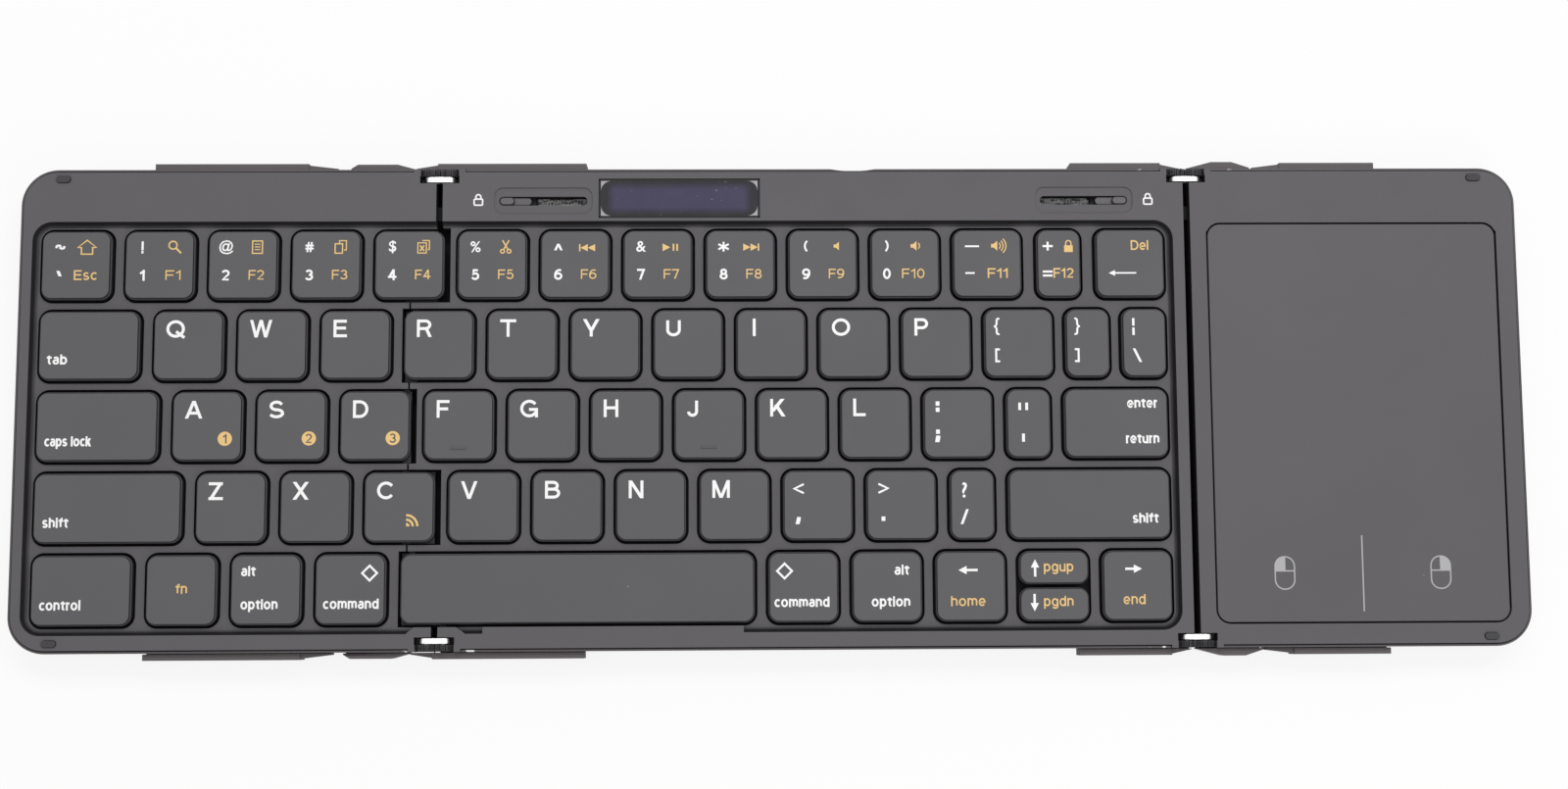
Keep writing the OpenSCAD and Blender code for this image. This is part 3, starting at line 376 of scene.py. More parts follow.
@dataclass(frozen=True)
class Brushed(Finish):
    """Metal with fine lines drawn along one axis."""

    line_mm: float = 0.08
    stretch: float = 30.0
    line_um: float = 2.0
    along: int = 0
    smooth: float = 0.7
    rough: float = 1.3

    def dress(self, tree: Tree, shader: Node) -> None:
        """Links stretched noise to the height and the roughness.

        Args:
            tree: The material's nodes.
            shader: The surface shader.
        """
        place = add_node(tree, "ShaderNodeTexCoord").outputs["Object"]
        scale = [1.0, 1.0, 1.0]
        scale[self.along] = 1 / self.stretch
        turned = add_node(tree, "ShaderNodeMapping", {"Vector": place, "Scale": tuple(scale)}).outputs["Vector"]
        drawn = {"Vector": turned, "Scale": 1 / (self.line_mm * MM), "Detail": 3.0}
        lines = add_node(tree, "ShaderNodeTexNoise", drawn).outputs["Fac"]
        limits = span(0.0, 1.0, self.smooth * self.roughness, self.rough * self.roughness)
        rough = add_node(tree, "ShaderNodeMapRange", {"Value": lines, **limits})
        tree.links.new(rough.outputs["Result"], shader.inputs["Roughness"])
        raise_surface(tree, shader, lines, self.line_um)


@dataclass(frozen=True)
class Flecked(Moulded):
    """Dull surface under uneven pale flecks that are drawn out along X."""

    fleck: str = "#8b898c"
    fleck_mm: float = 0.6
    fleck_long: float = 0.35
    fleck_span: Point = (0.4, 0.58)

    def clouded(self, tree: Tree, place: Socket) -> Socket:
        """Returns the colour with its flecks.

        Args:
            tree: The material's nodes.
            place: The place on the piece.

        Returns:
            The colour.
        """
        drawn = add_node(tree, "ShaderNodeMapping", {"Vector": place, "Scale": (self.fleck_long, 1.0, 1.0)})
        fine = {"Vector": drawn.outputs["Vector"], "Scale": 1 / (self.fleck_mm * MM), "Detail": 6.0, "Roughness": 0.7}
        noise = add_node(tree, "ShaderNodeTexNoise", fine)
        share = add_node(tree, "ShaderNodeMapRange", {"Value": noise.outputs["Fac"], **span(*self.fleck_span)})
        sides = {0: share.outputs["Result"], 6: linear(self.colour), 7: linear(self.fleck)}
        return add_node(tree, "ShaderNodeMix", sides, data_type="RGBA").outputs[2]


@dataclass(frozen=True)
class Panelled(Moulded):
    """Surface with a differently coloured field behind it, whose edge is soft, and with specks of dust."""

    field_colour: str = "#4c4866"
    cx: float = 0.0
    cy: float = 0.0
    half_x: float = 10.0
    half_y: float = 2.0
    soft: float = 1.5
    speck_colour: str = "#c9c8cf"
    speck_mm: float = 0.5
    speck_long: float = 0.5
    speck_turn: float = 0.5
    speck_span: Point = (0.7, 0.78)
    speck_share: float = 0.3

    def clouded(self, tree: Tree, place: Socket) -> Socket:
        """Returns the colour with its field and specks.

        Args:
            tree: The material's nodes.
            place: The place on the piece.

        Returns:
            The colour.
        """
        axes = add_node(tree, "ShaderNodeSeparateXYZ", {"Vector": place})
        sides = []
        for axis, middle, half in (("X", self.cx, self.half_x), ("Y", self.cy, self.half_y)):
            limits = span((half - self.soft) * MM, half * MM, 1.0, 0.0)
            far = distance_from(tree, axes.outputs[axis], middle)
            sides.append(add_node(tree, "ShaderNodeMapRange", {"Value": far, **limits}).outputs["Result"])
        both = add_node(tree, "ShaderNodeMath", {0: sides[0], 1: sides[1]}, operation="MULTIPLY")
        mix = {0: both.outputs["Value"], 6: super().clouded(tree, place), 7: linear(self.field_colour)}
        panel = add_node(tree, "ShaderNodeMix", mix, data_type="RGBA").outputs[2]
        turn = {"Rotation": (0, 0, self.speck_turn), "Scale": (self.speck_long, 1.0, 1.0)}
        drawn = add_node(tree, "ShaderNodeMapping", {"Vector": place, **turn}).outputs["Vector"]
        fine = {"Vector": drawn, "Scale": 1 / (self.speck_mm * MM), "Detail": 2.0}
        specks = add_node(tree, "ShaderNodeTexNoise", fine)
        limits = span(*self.speck_span, 0.0, self.speck_share)
        share = add_node(tree, "ShaderNodeMapRange", {"Value": specks.outputs["Fac"], **limits}).outputs["Result"]
        mix = {0: share, 6: panel, 7: linear(self.speck_colour)}
        return add_node(tree, "ShaderNodeMix", mix, data_type="RGBA").outputs[2]


@dataclass(frozen=True)
class WornPaint(Moulded):
    """Paint that handling has rubbed through to bright metal along a rim."""

    bare: str = "#d8d6d4"
    rim_z: float = 7.0
    streak_mm: float = 3.5
    worn_from: float = 0.56
    worn_soft: float = 0.03
    rim_band: Point = (0.2, 0.1)
    folds: Point = (-68.775, 85.775)
    reach: float = 10.0
    fade: float = 0.8

    def dress(self, tree: Tree, shader: Node) -> None:
        """Adds the bare streaks to the moulded surface's own detail.

        Args:
            tree: The material's nodes.
            shader: The surface shader.
        """
        super().dress(tree, shader)
        place = add_node(tree, "ShaderNodeTexCoord").outputs["Object"]
        rough = {"Vector": place, "Scale": 1 / (self.streak_mm * MM), "Detail": 6.0}
        streak = add_node(tree, "ShaderNodeTexNoise", rough)
        limits = span(self.worn_from, self.worn_from + self.worn_soft)
        worn = add_node(tree, "ShaderNodeMapRange", {"Value": streak.outputs["Fac"], **limits})
        axes = add_node(tree, "ShaderNodeSeparateXYZ", {"Vector": place})
        limits = span(*((self.rim_z - below) * MM for below in self.rim_band))
        rim = add_node(tree, "ShaderNodeMapRange", {"Value": axes.outputs["Z"], **limits})
        both = {0: worn.outputs["Result"], 1: rim.outputs["Result"]}
        bare = add_node(tree, "ShaderNodeMath", both, operation="MULTIPLY")
        near: Socket | float = 1.0
        for fold in self.folds:
            far = distance_from(tree, axes.outputs["X"], fold)
            near = add_node(tree, "ShaderNodeMath", {0: far, 1: near}, operation="MINIMUM").outputs["Value"]
        limits = span(self.fade * self.reach * MM, self.reach * MM, 1.0, 0.0)
        share = add_node(tree, "ShaderNodeMapRange", {"Value": near, **limits})
        both = {0: bare.outputs["Value"], 1: share.outputs["Result"]}
        mask = add_node(tree, "ShaderNodeMath", both, operation="MULTIPLY")
        painted = shader.inputs["Base Color"].links[0].from_socket
        sides = {0: mask.outputs["Value"], 6: painted, 7: linear(self.bare)}
        mix = add_node(tree, "ShaderNodeMix", sides, data_type="RGBA")
        tree.links.new(mix.outputs[2], shader.inputs["Base Color"])
        tree.links.new(mask.outputs["Value"], shader.inputs["Metallic"])


@dataclass(frozen=True)
class Deepening(Moulded):
    """Moulded slope with painted shade that darkens it from its foot to its upper edge."""

    dark: str = "#161517"
    foot_z: float = 6.2
    dark_z: float = 6.95

    def clouded(self, tree: Tree, place: Socket) -> Socket:
        """Returns the colour with its painted shade by height.

        Args:
            tree: The material's nodes.
            place: The place on the piece.

        Returns:
            The colour.
        """
        axes = add_node(tree, "ShaderNodeSeparateXYZ", {"Vector": place})
        limits = span(self.foot_z * MM, self.dark_z * MM)
        share = add_node(tree, "ShaderNodeMapRange", {"Value": axes.outputs["Z"], **limits})
        sides = {0: share.outputs["Result"], 6: super().clouded(tree, place), 7: linear(self.dark)}
        return add_node(tree, "ShaderNodeMix", sides, data_type="RGBA").outputs[2]


# ABS with a spark-eroded texture: a dull, even dark grey that hardly shines.
FRAME_ABS = Moulded(
    "spark_eroded_abs", "#605e61", 0.62, specular=0.25, grain_mm=0.35, grain_um=10.0, cloud=0.02, dust=0.25
)
# ABS caps with a soft-touch coat: the same grey, a little smoother, with sparse dust and finger marks.
KEY_ABS = Moulded(
    "soft_touch_coated_abs", "#5f5e60", 0.55, specular=0.25, grain_mm=0.22, grain_um=5.0, cloud=0.03, dust=0.35
)
# The same ABS on the walls that drop away, black: painted shade for walls that are hardly lit.
SHADE_ABS = Moulded("bare_black_abs", "#2a292c", 0.6, specular=0.15, grain_mm=0.3, grain_um=4.0, cloud=0.02)
# The same ABS on the up-facing flare of the caps' skirts, dark grey: painted light, a lit band below the painted-shade
# walls that shows as a grey line in the groove round each key.
SKIRT_LIT_ABS = Moulded("dusty_bare_abs", "#4e4d50", 0.7, specular=0.2, grain_mm=0.3, grain_um=6.0, cloud=0.05)
# The frame's walls in its slots and recesses, nearly black: painted shade where they drop away from the light.
RECESS_SHADE_ABS = Moulded("deep_eroded_abs", "#29282a", 0.75, specular=0.15, grain_mm=0.35, grain_um=12.0, cloud=0.03)
# The frame's ABS on the slopes round the keys, with painted shade, deepest at their upper edge: nearly black there,
# grey at the foot.
SLOPE_SHADE_ABS = Deepening("graded_eroded_abs", "#605e61", 0.65, specular=0.2, grain_mm=0.35, grain_um=12.0, cloud=0.02)
# Sheet aluminium, stamped and painted: dark with a warm purple cast, bare at the most handled edges.
COVER_PAINT = WornPaint(
    "painted_stamped_aluminium", "#5a5558", 0.5, specular=0.4, grain_mm=0.3, grain_um=6.0, cloud=0.04, dust=0.2
)
# Textured polycarbonate sheet: flat and satin, so that a finger glides on it.
TOUCH_SHEET = Moulded(
    "etched_polycarbonate_sheet", "#605e60", 0.5, specular=0.25, grain_mm=0.18, grain_um=3.0, cloud=0.05, cloud_mm=32,
    dust=0.1
)
# Steel sheet under black paint: what the eye meets in the grooves as black.
PLATE_PAINT = Moulded("black_painted_steel_sheet", "#232225", 0.7, specular=0.2, grain_um=4.0, cloud=0.02)
# Cast silicone rubber domes and acetal scissor frames: black, only seen under a lifted key.
DOME_SILICONE = Moulded("cast_silicone_rubber", "#1f1f21", 0.6, specular=0.2, grain_um=3.0)
# Rolled stainless strip, tumbled bright: nearly white under a soft light.
LINK_STEEL = Brushed("tumbled_stainless_steel", "#fafafa", 0.42, metallic=1.0, line_mm=0.15, line_um=0.6)
# Sintered steel gears, dull grey with lighter tooth tips.
GEAR_STEEL = Brushed("sintered_steel", "#464547", 0.6, metallic=1.0, line_mm=0.12, stretch=4.0, line_um=3.0)
# The same steel away from the teeth that mesh, black and dull: painted shade where the arms lie deep in the hinge.
SHADE_GEAR_STEEL = Moulded("greased_steel", "#232224", 0.6, specular=0.2, grain_mm=0.5, grain_um=6.0)
# Tinted acrylic: charcoal with a gloss, and violet where the liquid crystal lies behind it.
LENS_ACRYLIC = Panelled(
    "tinted_acrylic", "#2f2e32", 0.22, specular=0.25, grain_um=0.6, grain_mm=0.8, cloud=0.12, cloud_mm=7, dust=0.5,
    dust_mm=3.0, field_colour="#45415a", cx=-19.375, cy=43.33, half_x=14.9, half_y=3.3,
)
# Screen print behind the lens: plain black.
LENS_BORDER = Moulded("black_screen_print", "#121214", 0.5, specular=0.3, grain_um=1.0)
# Protective polyester film, cut at the corners: pale grey.
FILM = Moulded("clear_polyester_film", "#a9a8ac", 0.3, grain_um=0.8)
# Pad-printed ink, white.
INK_WHITE = Moulded("white_pad_print_ink", "#ffffff", 0.5, specular=0.3, grain_um=1.0, cloud=0.005)
# Pad-printed ink, amber.
INK_AMBER = Moulded("amber_pad_print_ink", "#efc987", 0.5, specular=0.3, grain_um=1.0, cloud=0.005)
# Pad-printed ink, thin and grey on the touchpad.
INK_GREY = Moulded("grey_pad_print_ink", "#b4b3b5", 0.5, specular=0.3, grain_um=1.0, cloud=0.005)
# Acetal slider knobs: smooth and a little darker than the frame.
KNOB_ACETAL = Moulded("moulded_acetal", "#605e61", 0.45, specular=0.4, grain_mm=0.25, grain_um=3.0)
# Dry grease and dust on the slider's nylon guide: uneven, dark with pale flecks.
GUIDE_NYLON = Flecked("greased_nylon", "#343437", 0.7, specular=0.25, fleck="#ffffff", fleck_mm=0.7, grain_um=30.0)
# Glass-fibre board under green solder mask.
BOARD_MASK = Moulded("green_solder_mask", "#1f5a35", 0.35, grain_um=2.0, cloud=0.05, cloud_mm=8)
# Drawn nickel-plated steel shell of the charging port.
PORT_SHELL = Brushed("nickel_plated_steel", "#c9c8c6", 0.28, metallic=1.0, line_mm=0.1, line_um=0.8)
# Black liquid-crystal polymer tongue and chips.
CHIP_RESIN = Moulded("moulded_epoxy_resin", "#1c1c1e", 0.55, grain_um=4.0)
# Gold-flashed contacts.
CONTACT_GOLD = Brushed("gold_flashed_bronze", "#d9b36a", 0.3, metallic=1.0, line_mm=0.05, line_um=0.5)
# Laminated foil pouch of the battery: soft silver with fine creases.
POUCH_FOIL = Moulded("laminated_foil_pouch", "#b7b8ba", 0.35, metallic=0.8, grain_mm=2.0, grain_um=25.0, cloud=0.03)
# Compression-moulded rubber feet: black and dead matt. The same black lies in the gaps round the frames as painted
# shade.
FOOT_RUBBER_AND_BEAD_SHADE = Moulded("compression_moulded_rubber", "#1e1d1f", 0.85, specular=0.2, grain_mm=0.4, grain_um=12.0)
# The same rubber on the pads' flat tops, grey: a painted highlight for the sheen on their tops.
LIT_TOP_RUBBER = Moulded("rubbed_moulded_rubber", "#4b4a4c", 0.85, specular=0.2, grain_mm=0.4, grain_um=12.0, cloud=0.06)
# Cold-headed steel screws with a black oxide skin.
SCREW_STEEL = Brushed("black_oxide_steel", "#3b3a3d", 0.38, metallic=0.9, line_mm=0.1, stretch=3.0, line_um=1.5)
# Black polyimide film over copper: dark with a faint gloss, which also stands in for the shade in the gaps at the
# folds. The same black fills the seams under the covers as painted shade.
FLEX_FILM_AND_SEAM_SHADE = Moulded("black_polyimide_film", "#0b0b0c", 0.5, specular=0.15, grain_um=1.0, cloud=0.04, cloud_mm=6)


# ---------------- shapes


@dataclass(frozen=True)
class Box:
    """An upright box in millimetres."""

    x1: float
    x2: float
    y1: float
    y2: float
    z1: float
    z2: float

    @property
    def cx(self) -> float:
        """Middle along X."""
        return (self.x1 + self.x2) / 2

    @property
    def cy(self) -> float:
        """Middle along Y."""
        return (self.y1 + self.y2) / 2

    @property
    def width(self) -> float:
        """Length along X."""
        return self.x2 - self.x1

    @property
    def depth(self) -> float:
        """Length along Y."""
        return self.y2 - self.y1


@dataclass(frozen=True)
class Plan:
    """A rounded rectangle seen from above."""

    cx: float
    cy: float
    width: float
    depth: float
    radius: float
    steps: int = 8

    def ring(self, inset: float = 0.0) -> Ring:
        """Points of the outline, anticlockwise, moved in by inset.

        Args:
            inset: How far inside the outline.

        Returns:
            Its points, anticlockwise.
        """
        w, d = self.width / 2 - inset, self.depth / 2 - inset
        r = max(self.radius - inset, 0.01)
        points: Ring = []
        for quarter, (sx, sy) in enumerate(((1, 1), (-1, 1), (-1, -1), (1, -1))):
            for k in range(self.steps + 1):
                a = math.radians(90 * (quarter + k / self.steps))
                points.append((self.cx + sx * (w - r) + r * math.cos(a), self.cy + sy * (d - r) + r * math.sin(a)))
        return points


def circle(cx: float, cy: float, r: float, steps: int = 24) -> Ring:
    """Points of a circle, anticlockwise."""
    angles = [math.tau * k / steps for k in range(steps)]
    return [(cx + r * math.cos(a), cy + r * math.sin(a)) for a in angles]


def arc(cx: float, cy: float, r: float, start: float, end: float, steps: int = 12) -> Ring:
    """Points along an arc from start to end, in degrees."""
    angles = [math.radians(start + (end - start) * k / steps) for k in range(steps + 1)]
    return [(cx + r * math.cos(a), cy + r * math.sin(a)) for a in angles]


def beside(points: Sequence[Point], distance: float, closed: bool) -> Ring:
    """Moves a line sideways, to its left, with mitred corners.

    Args:
        points: The line's points.
        distance: How far to move it.
        closed: Whether the last point joins the first.

    Returns:
        The moved points.
    """
    moved: Ring = []
    count = len(points)
    for i, (x, y) in enumerate(points):
        sides = []
        if closed or i > 0:
            sides.append((points[i - 1], (x, y)))
        if closed or i < count - 1:
            sides.append(((x, y), points[(i + 1) % count]))
        normals = []
        for (ax, ay), (bx, by) in sides:
            length = math.hypot(bx - ax, by - ay) or 1.0
            normals.append((-(by - ay) / length, (bx - ax) / length))
        nx, ny = sum(n[0] for n in normals) / len(normals), sum(n[1] for n in normals) / len(normals)
        scale = distance / max(nx * nx + ny * ny, 0.25)
        moved.append((x + nx * scale, y + ny * scale))
    return moved


def show(thing: bpy.types.Object) -> None:
    """Puts an object into the scene."""
    bpy.context.scene.collection.objects.link(thing)


def in_metres(points: Sequence[Triple]) -> list[Triple]:
    """Turns places from millimetres into metres."""
    return [(x * MM, y * MM, z * MM) for x, y, z in points]


class Shells:
    """Collects closed shells in millimetres and turns them into one mesh."""

    def __init__(self) -> None:
        """Starts with nothing."""
        self.vertices: list[Triple] = []
        self.faces: list[tuple[int, ...]] = []

    def loft(self, levels: Sequence[Level]) -> None:
        """Joins rings of the same count into a shell that is closed at both ends.

        Args:
            levels: Rings with their heights, in order along the skin.
        """
        start, count = len(self.vertices), len(levels[0][0])
        for ring, z in levels:
            self.vertices += [(x, y, z) for x, y in ring]
        for level in range(len(levels) - 1):
            a = start + level * count
            for i in range(count):
                j = (i + 1) % count
                self.faces.append((a + i, a + j, a + count + j, a + count + i))
        last = start + (len(levels) - 1) * count
        self.faces.append(tuple(range(start + count - 1, start - 1, -1)))
        self.faces.append(tuple(range(last, last + count)))

    def slab(self, plan: Plan, low: float, high: float, edge: float = 0.0, foot: float = 0.0, steps: int = 4) -> None:
        """Adds a plate with its upper and its lower edge rounded."""
        self.loft(rounded_levels(plan, low, high, edge, foot, steps))

    def add(self, other: Shells) -> None:
        """Adds a copy of other shells."""
        self.faces += [tuple(len(self.vertices) + i for i in face) for face in other.faces]
        self.vertices += other.vertices

    def prism(self, ring: Ring, low: float, high: float) -> None:
        """Adds an upright prism on an anticlockwise outline."""
        self.loft([(ring, low), (ring, high)])

    def ribbon(self, left: Ring, right: Ring, low: float, high: float, closed: bool) -> None:
        """Adds a flat band between two lines of the same count.

        Args:
            left: The line on the left, seen along it.
            right: The line on the right.
            low: Height of the underside.
            high: Height of the top.
            closed: Whether the band is a loop.
        """
        start, count = len(self.vertices), len(left)
        for ring, z in ((right, low), (left, low), (left, high), (right, high)):
            self.vertices += [(x, y, z) for x, y in ring]
        corner = [start + k * count for k in range(4)]
        for i in range(count if closed else count - 1):
            j = (i + 1) % count
            for k in range(4):
                a, b = corner[k], corner[(k + 1) % 4]
                self.faces.append((a + i, b + i, b + j, a + j))
        if not closed:
            self.faces.append(tuple(corner[k] for k in (3, 2, 1, 0)))
            self.faces.append(tuple(corner[k] + count - 1 for k in range(4)))

    def stroke(self, points: Sequence[Point], width: float, low: float, high: float, closed: bool = False) -> None:
        """Adds a drawn line of a stated width."""
        self.ribbon(beside(points, width / 2, closed), beside(points, -width / 2, closed), low, high, closed)

    def piece(self, name: str, finish: Finish, body: str | None, slot: str | None = None) -> bpy.types.Object:
        """Turns what was collected into one piece that rides on a body.

        Args:
            name: The piece's name.
            finish: Its material.
            body: The body it rides on, or nothing for a piece that bends between two.
            slot: The record's material slot, if it has one.

        Returns:
            The new object, at the origin with its place in its mesh.
        """
        mesh = bpy.data.meshes.new(name)
        mesh.from_pydata(in_metres(self.vertices), [], self.faces)
        mesh.validate()
        shell = bmesh.new()
        shell.from_mesh(mesh)
        bmesh.ops.remove_doubles(shell, verts=shell.verts, dist=1e-8)
        bmesh.ops.recalc_face_normals(shell, faces=shell.faces)
        shell.to_mesh(mesh)
        shell.free()
        return dressed_piece(name, mesh, finish, body, slot)


def rounded_levels(plan: Plan, low: float, high: float, edge: float, foot: float, steps: int) -> list[Level]:
    """Rings up the side of a plate, with a rounded lower and upper edge where they are stated.

    Args:
        plan: The outline.
        low: Height of the underside.
        high: Height of the top.
        edge: Radius of the upper edge.
        foot: Radius of the lower edge.
        steps: Steps of each rounding.

    Returns:
        Rings with their heights, from the foot up.
    """
    levels: list[Level] = []
    turn = [math.radians(90 * k / steps) for k in range(steps + 1)]
    if foot:
        levels += [(plan.ring(foot * (1 - math.sin(a))), low + foot * (1 - math.cos(a))) for a in turn]
    else:
        levels.append((plan.ring(), low))
    if edge:
        levels += [(plan.ring(edge * (1 - math.cos(a))), high - edge * (1 - math.sin(a))) for a in turn]
        levels.append((plan.ring(edge + FACE_MARGIN), high))
    else:
        levels.append((plan.ring(), high))
    return levels


def dressed_piece(
    name: str, mesh: bpy.types.Mesh, finish: Finish, body: str | None, slot: str | None = None, sharp: float = 34.0
) -> bpy.types.Object:
    """Makes a mesh a shown piece: shading, material, body and slot.

    Args:
        name: The piece's name.
        mesh: Its mesh, in metres.
        finish: Its material.
        body: The body it rides on, or nothing for a piece that bends between two.
        slot: The record's material slot, if it has one.
        sharp: Edges steeper than this angle stay sharp.

    Returns:
        The new object.
    """
    mesh.materials.clear()
    mesh.materials.append(finish.material())
    mesh.polygons.foreach_set("use_smooth", [True] * len(mesh.polygons))
    mesh.set_sharp_from_angle(angle=math.radians(sharp))
    piece = bpy.data.objects.new(name, mesh)
    show(piece)
    if body:
        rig.ride(piece, body)
    if slot:
        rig.slot(piece, slot)
    LOG.info("%s: %d faces on %s", name, len(mesh.polygons), body)
    return piece


def split_finish(piece: bpy.types.Object, finish: Finish, chosen: Callable[[Vector, Vector], bool]) -> int:
    """Gives some faces of a piece a second finish.

    Args:
        piece: The piece.
        finish: The second finish.
        chosen: Says from a face's middle in millimetres and its normal whether it takes the finish.

    Returns:
        How many faces took it.
    """
    mesh = piece.data
    mesh.materials.append(finish.material())
    last, count = len(mesh.materials) - 1, 0
    for face in mesh.polygons:
        if chosen(face.center / MM, face.normal):
            face.material_index = last
            count += 1
    LOG.info("%s: %d of %d faces in %s", piece.name, count, len(mesh.polygons), finish.name)
    return count


def evaluated_mesh(piece: bpy.types.Object) -> bpy.types.Mesh:
    """Returns a plain mesh of an object as its modifiers leave it."""
    graph = bpy.context.evaluated_depsgraph_get()
    return bpy.data.meshes.new_from_object(piece.evaluated_get(graph), depsgraph=graph)


# ---------------- the frame


@dataclass
class Workshop:
    """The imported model, with what every sub-assembly asks of it."""

    frame: dict = field(default_factory=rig.load)
    flat: float = 1.0  # Neighbouring faces that turn less than this, in degrees, are one flat face.
    corner: float = 40.0  # Edges that turn more than this, in degrees, are rounded.

    def node(self, name: str) -> bpy.types.Object:
        """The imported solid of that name."""
        return self.frame["nodes"][name]

    def box(self, name: str) -> Box:
        """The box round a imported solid, in millimetres."""
        low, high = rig.box(name)
        return Box(*(v / MM for pair in zip(low, high) for v in pair))

    def body(self, name: str) -> str:
        """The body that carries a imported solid."""
        return self.node(name)["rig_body"]

    def solids(self, name: str) -> list[Box]:
        """The boxes of the separate solids in a node, from the back row to the front and from the left."""
        return [box for box, _ in self.parts(name)]

    def parts(self, name: str) -> list[tuple[Box, Shells]]:
        """The separate solids in a node with their boxes, in the same order.

        Args:
            name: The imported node.

        Returns:
            Each solid's box and its shells, row by row from the back and from the left.
        """
        shell = self.merged(name)
        shell.faces.ensure_lookup_table()
        seen: set[int] = set()
        found: list[tuple[Box, Shells]] = []
        for start in shell.verts:
            if start.index in seen:
                continue
            group, queue = [], [start]
            seen.add(start.index)
            while queue:
                vertex = queue.pop()
                group.append(vertex)
                for edge in vertex.link_edges:
                    other = edge.other_vert(vertex)
                    if other.index not in seen:
                        seen.add(other.index)
                        queue.append(other)
            order = {vertex.index: k for k, vertex in enumerate(group)}
            part = Shells()
            part.vertices = [tuple(vertex.co / MM) for vertex in group]
            touched = sorted({face.index for vertex in group for face in vertex.link_faces})
            part.faces = [tuple(order[vertex.index] for vertex in shell.faces[k].verts) for k in touched]
            found.append((Box(*(v for axis in zip(*part.vertices) for v in (min(axis), max(axis)))), part))
        shell.free()
        return sorted(found, key=lambda pair: (-round(pair[0].y2), pair[0].x1))

    def merged(self, name: str) -> bmesh.types.BMesh:
        """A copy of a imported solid's mesh with its loose triangles joined.

        Args:
            name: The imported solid.

        Returns:
            The copy, for the caller to free.
        """
        shell = bmesh.new()
        shell.from_mesh(self.node(name).data)
        bmesh.ops.remove_doubles(shell, verts=shell.verts, dist=1e-6)
        shell.verts.index_update()
        shell.faces.index_update()
        return shell

    def whole_faces(self, name: str) -> bmesh.types.BMesh:
        """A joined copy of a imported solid's mesh whose flat faces are whole.

        Args:
            name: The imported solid.

        Returns:
            The copy, for the caller to free.
        """
        shell = self.merged(name)
        flat = math.radians(self.flat)
        bmesh.ops.dissolve_limit(shell, angle_limit=flat, verts=shell.verts, edges=shell.edges, delimit=set())
        return shell

    def dress(self, name: str, finish: Finish) -> None:
        """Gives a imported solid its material.

        Args:
            name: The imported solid.
            finish: Its material.
        """
        data = self.node(name).data
        data.materials.clear()
        data.materials.append(finish.material())
        LOG.info("%s: packed solid in %s", name, finish.name)

    def softened(self, name: str, finish: Finish, slot: str, edge: float, cut: bool = False) -> bpy.types.Object:
        """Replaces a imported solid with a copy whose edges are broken, as moulding and stamping leave them.

        Args:
            name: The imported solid.
            finish: Its material.
            slot: The record's material slot.
            edge: Width of the rounding.
            cut: Whether flat faces are cut into triangles first, as walls with openings need.

        Returns:
            The new piece.
        """
        shell = self.whole_faces(name)
        if cut:
            bmesh.ops.triangulate(shell, faces=[face for face in shell.faces if len(face.verts) > 4])
        mesh = bpy.data.meshes.new(name + "_skin")
        shell.to_mesh(mesh)
        shell.free()
        mesh.polygons.foreach_set("use_smooth", [True] * len(mesh.polygons))
        blank = bpy.data.objects.new(name + "_blank", mesh)
        show(blank)
        bevel = blank.modifiers.new("edge", "BEVEL")
        bevel.width = edge * MM
        bevel.segments = 2
        bevel.limit_method = "ANGLE"
        bevel.angle_limit = math.radians(self.corner)
        bevel.miter_outer = "MITER_ARC"
        even = blank.modifiers.new("even", "WEIGHTED_NORMAL")
        even.mode = "FACE_AREA"
        even.weight = 100
        result = evaluated_mesh(blank)
        bpy.data.objects.remove(blank)
        piece = dressed_piece(name + "_skin", result, finish, self.body(name), slot)
        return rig.replaces(piece, name)


# ---------------- repeats


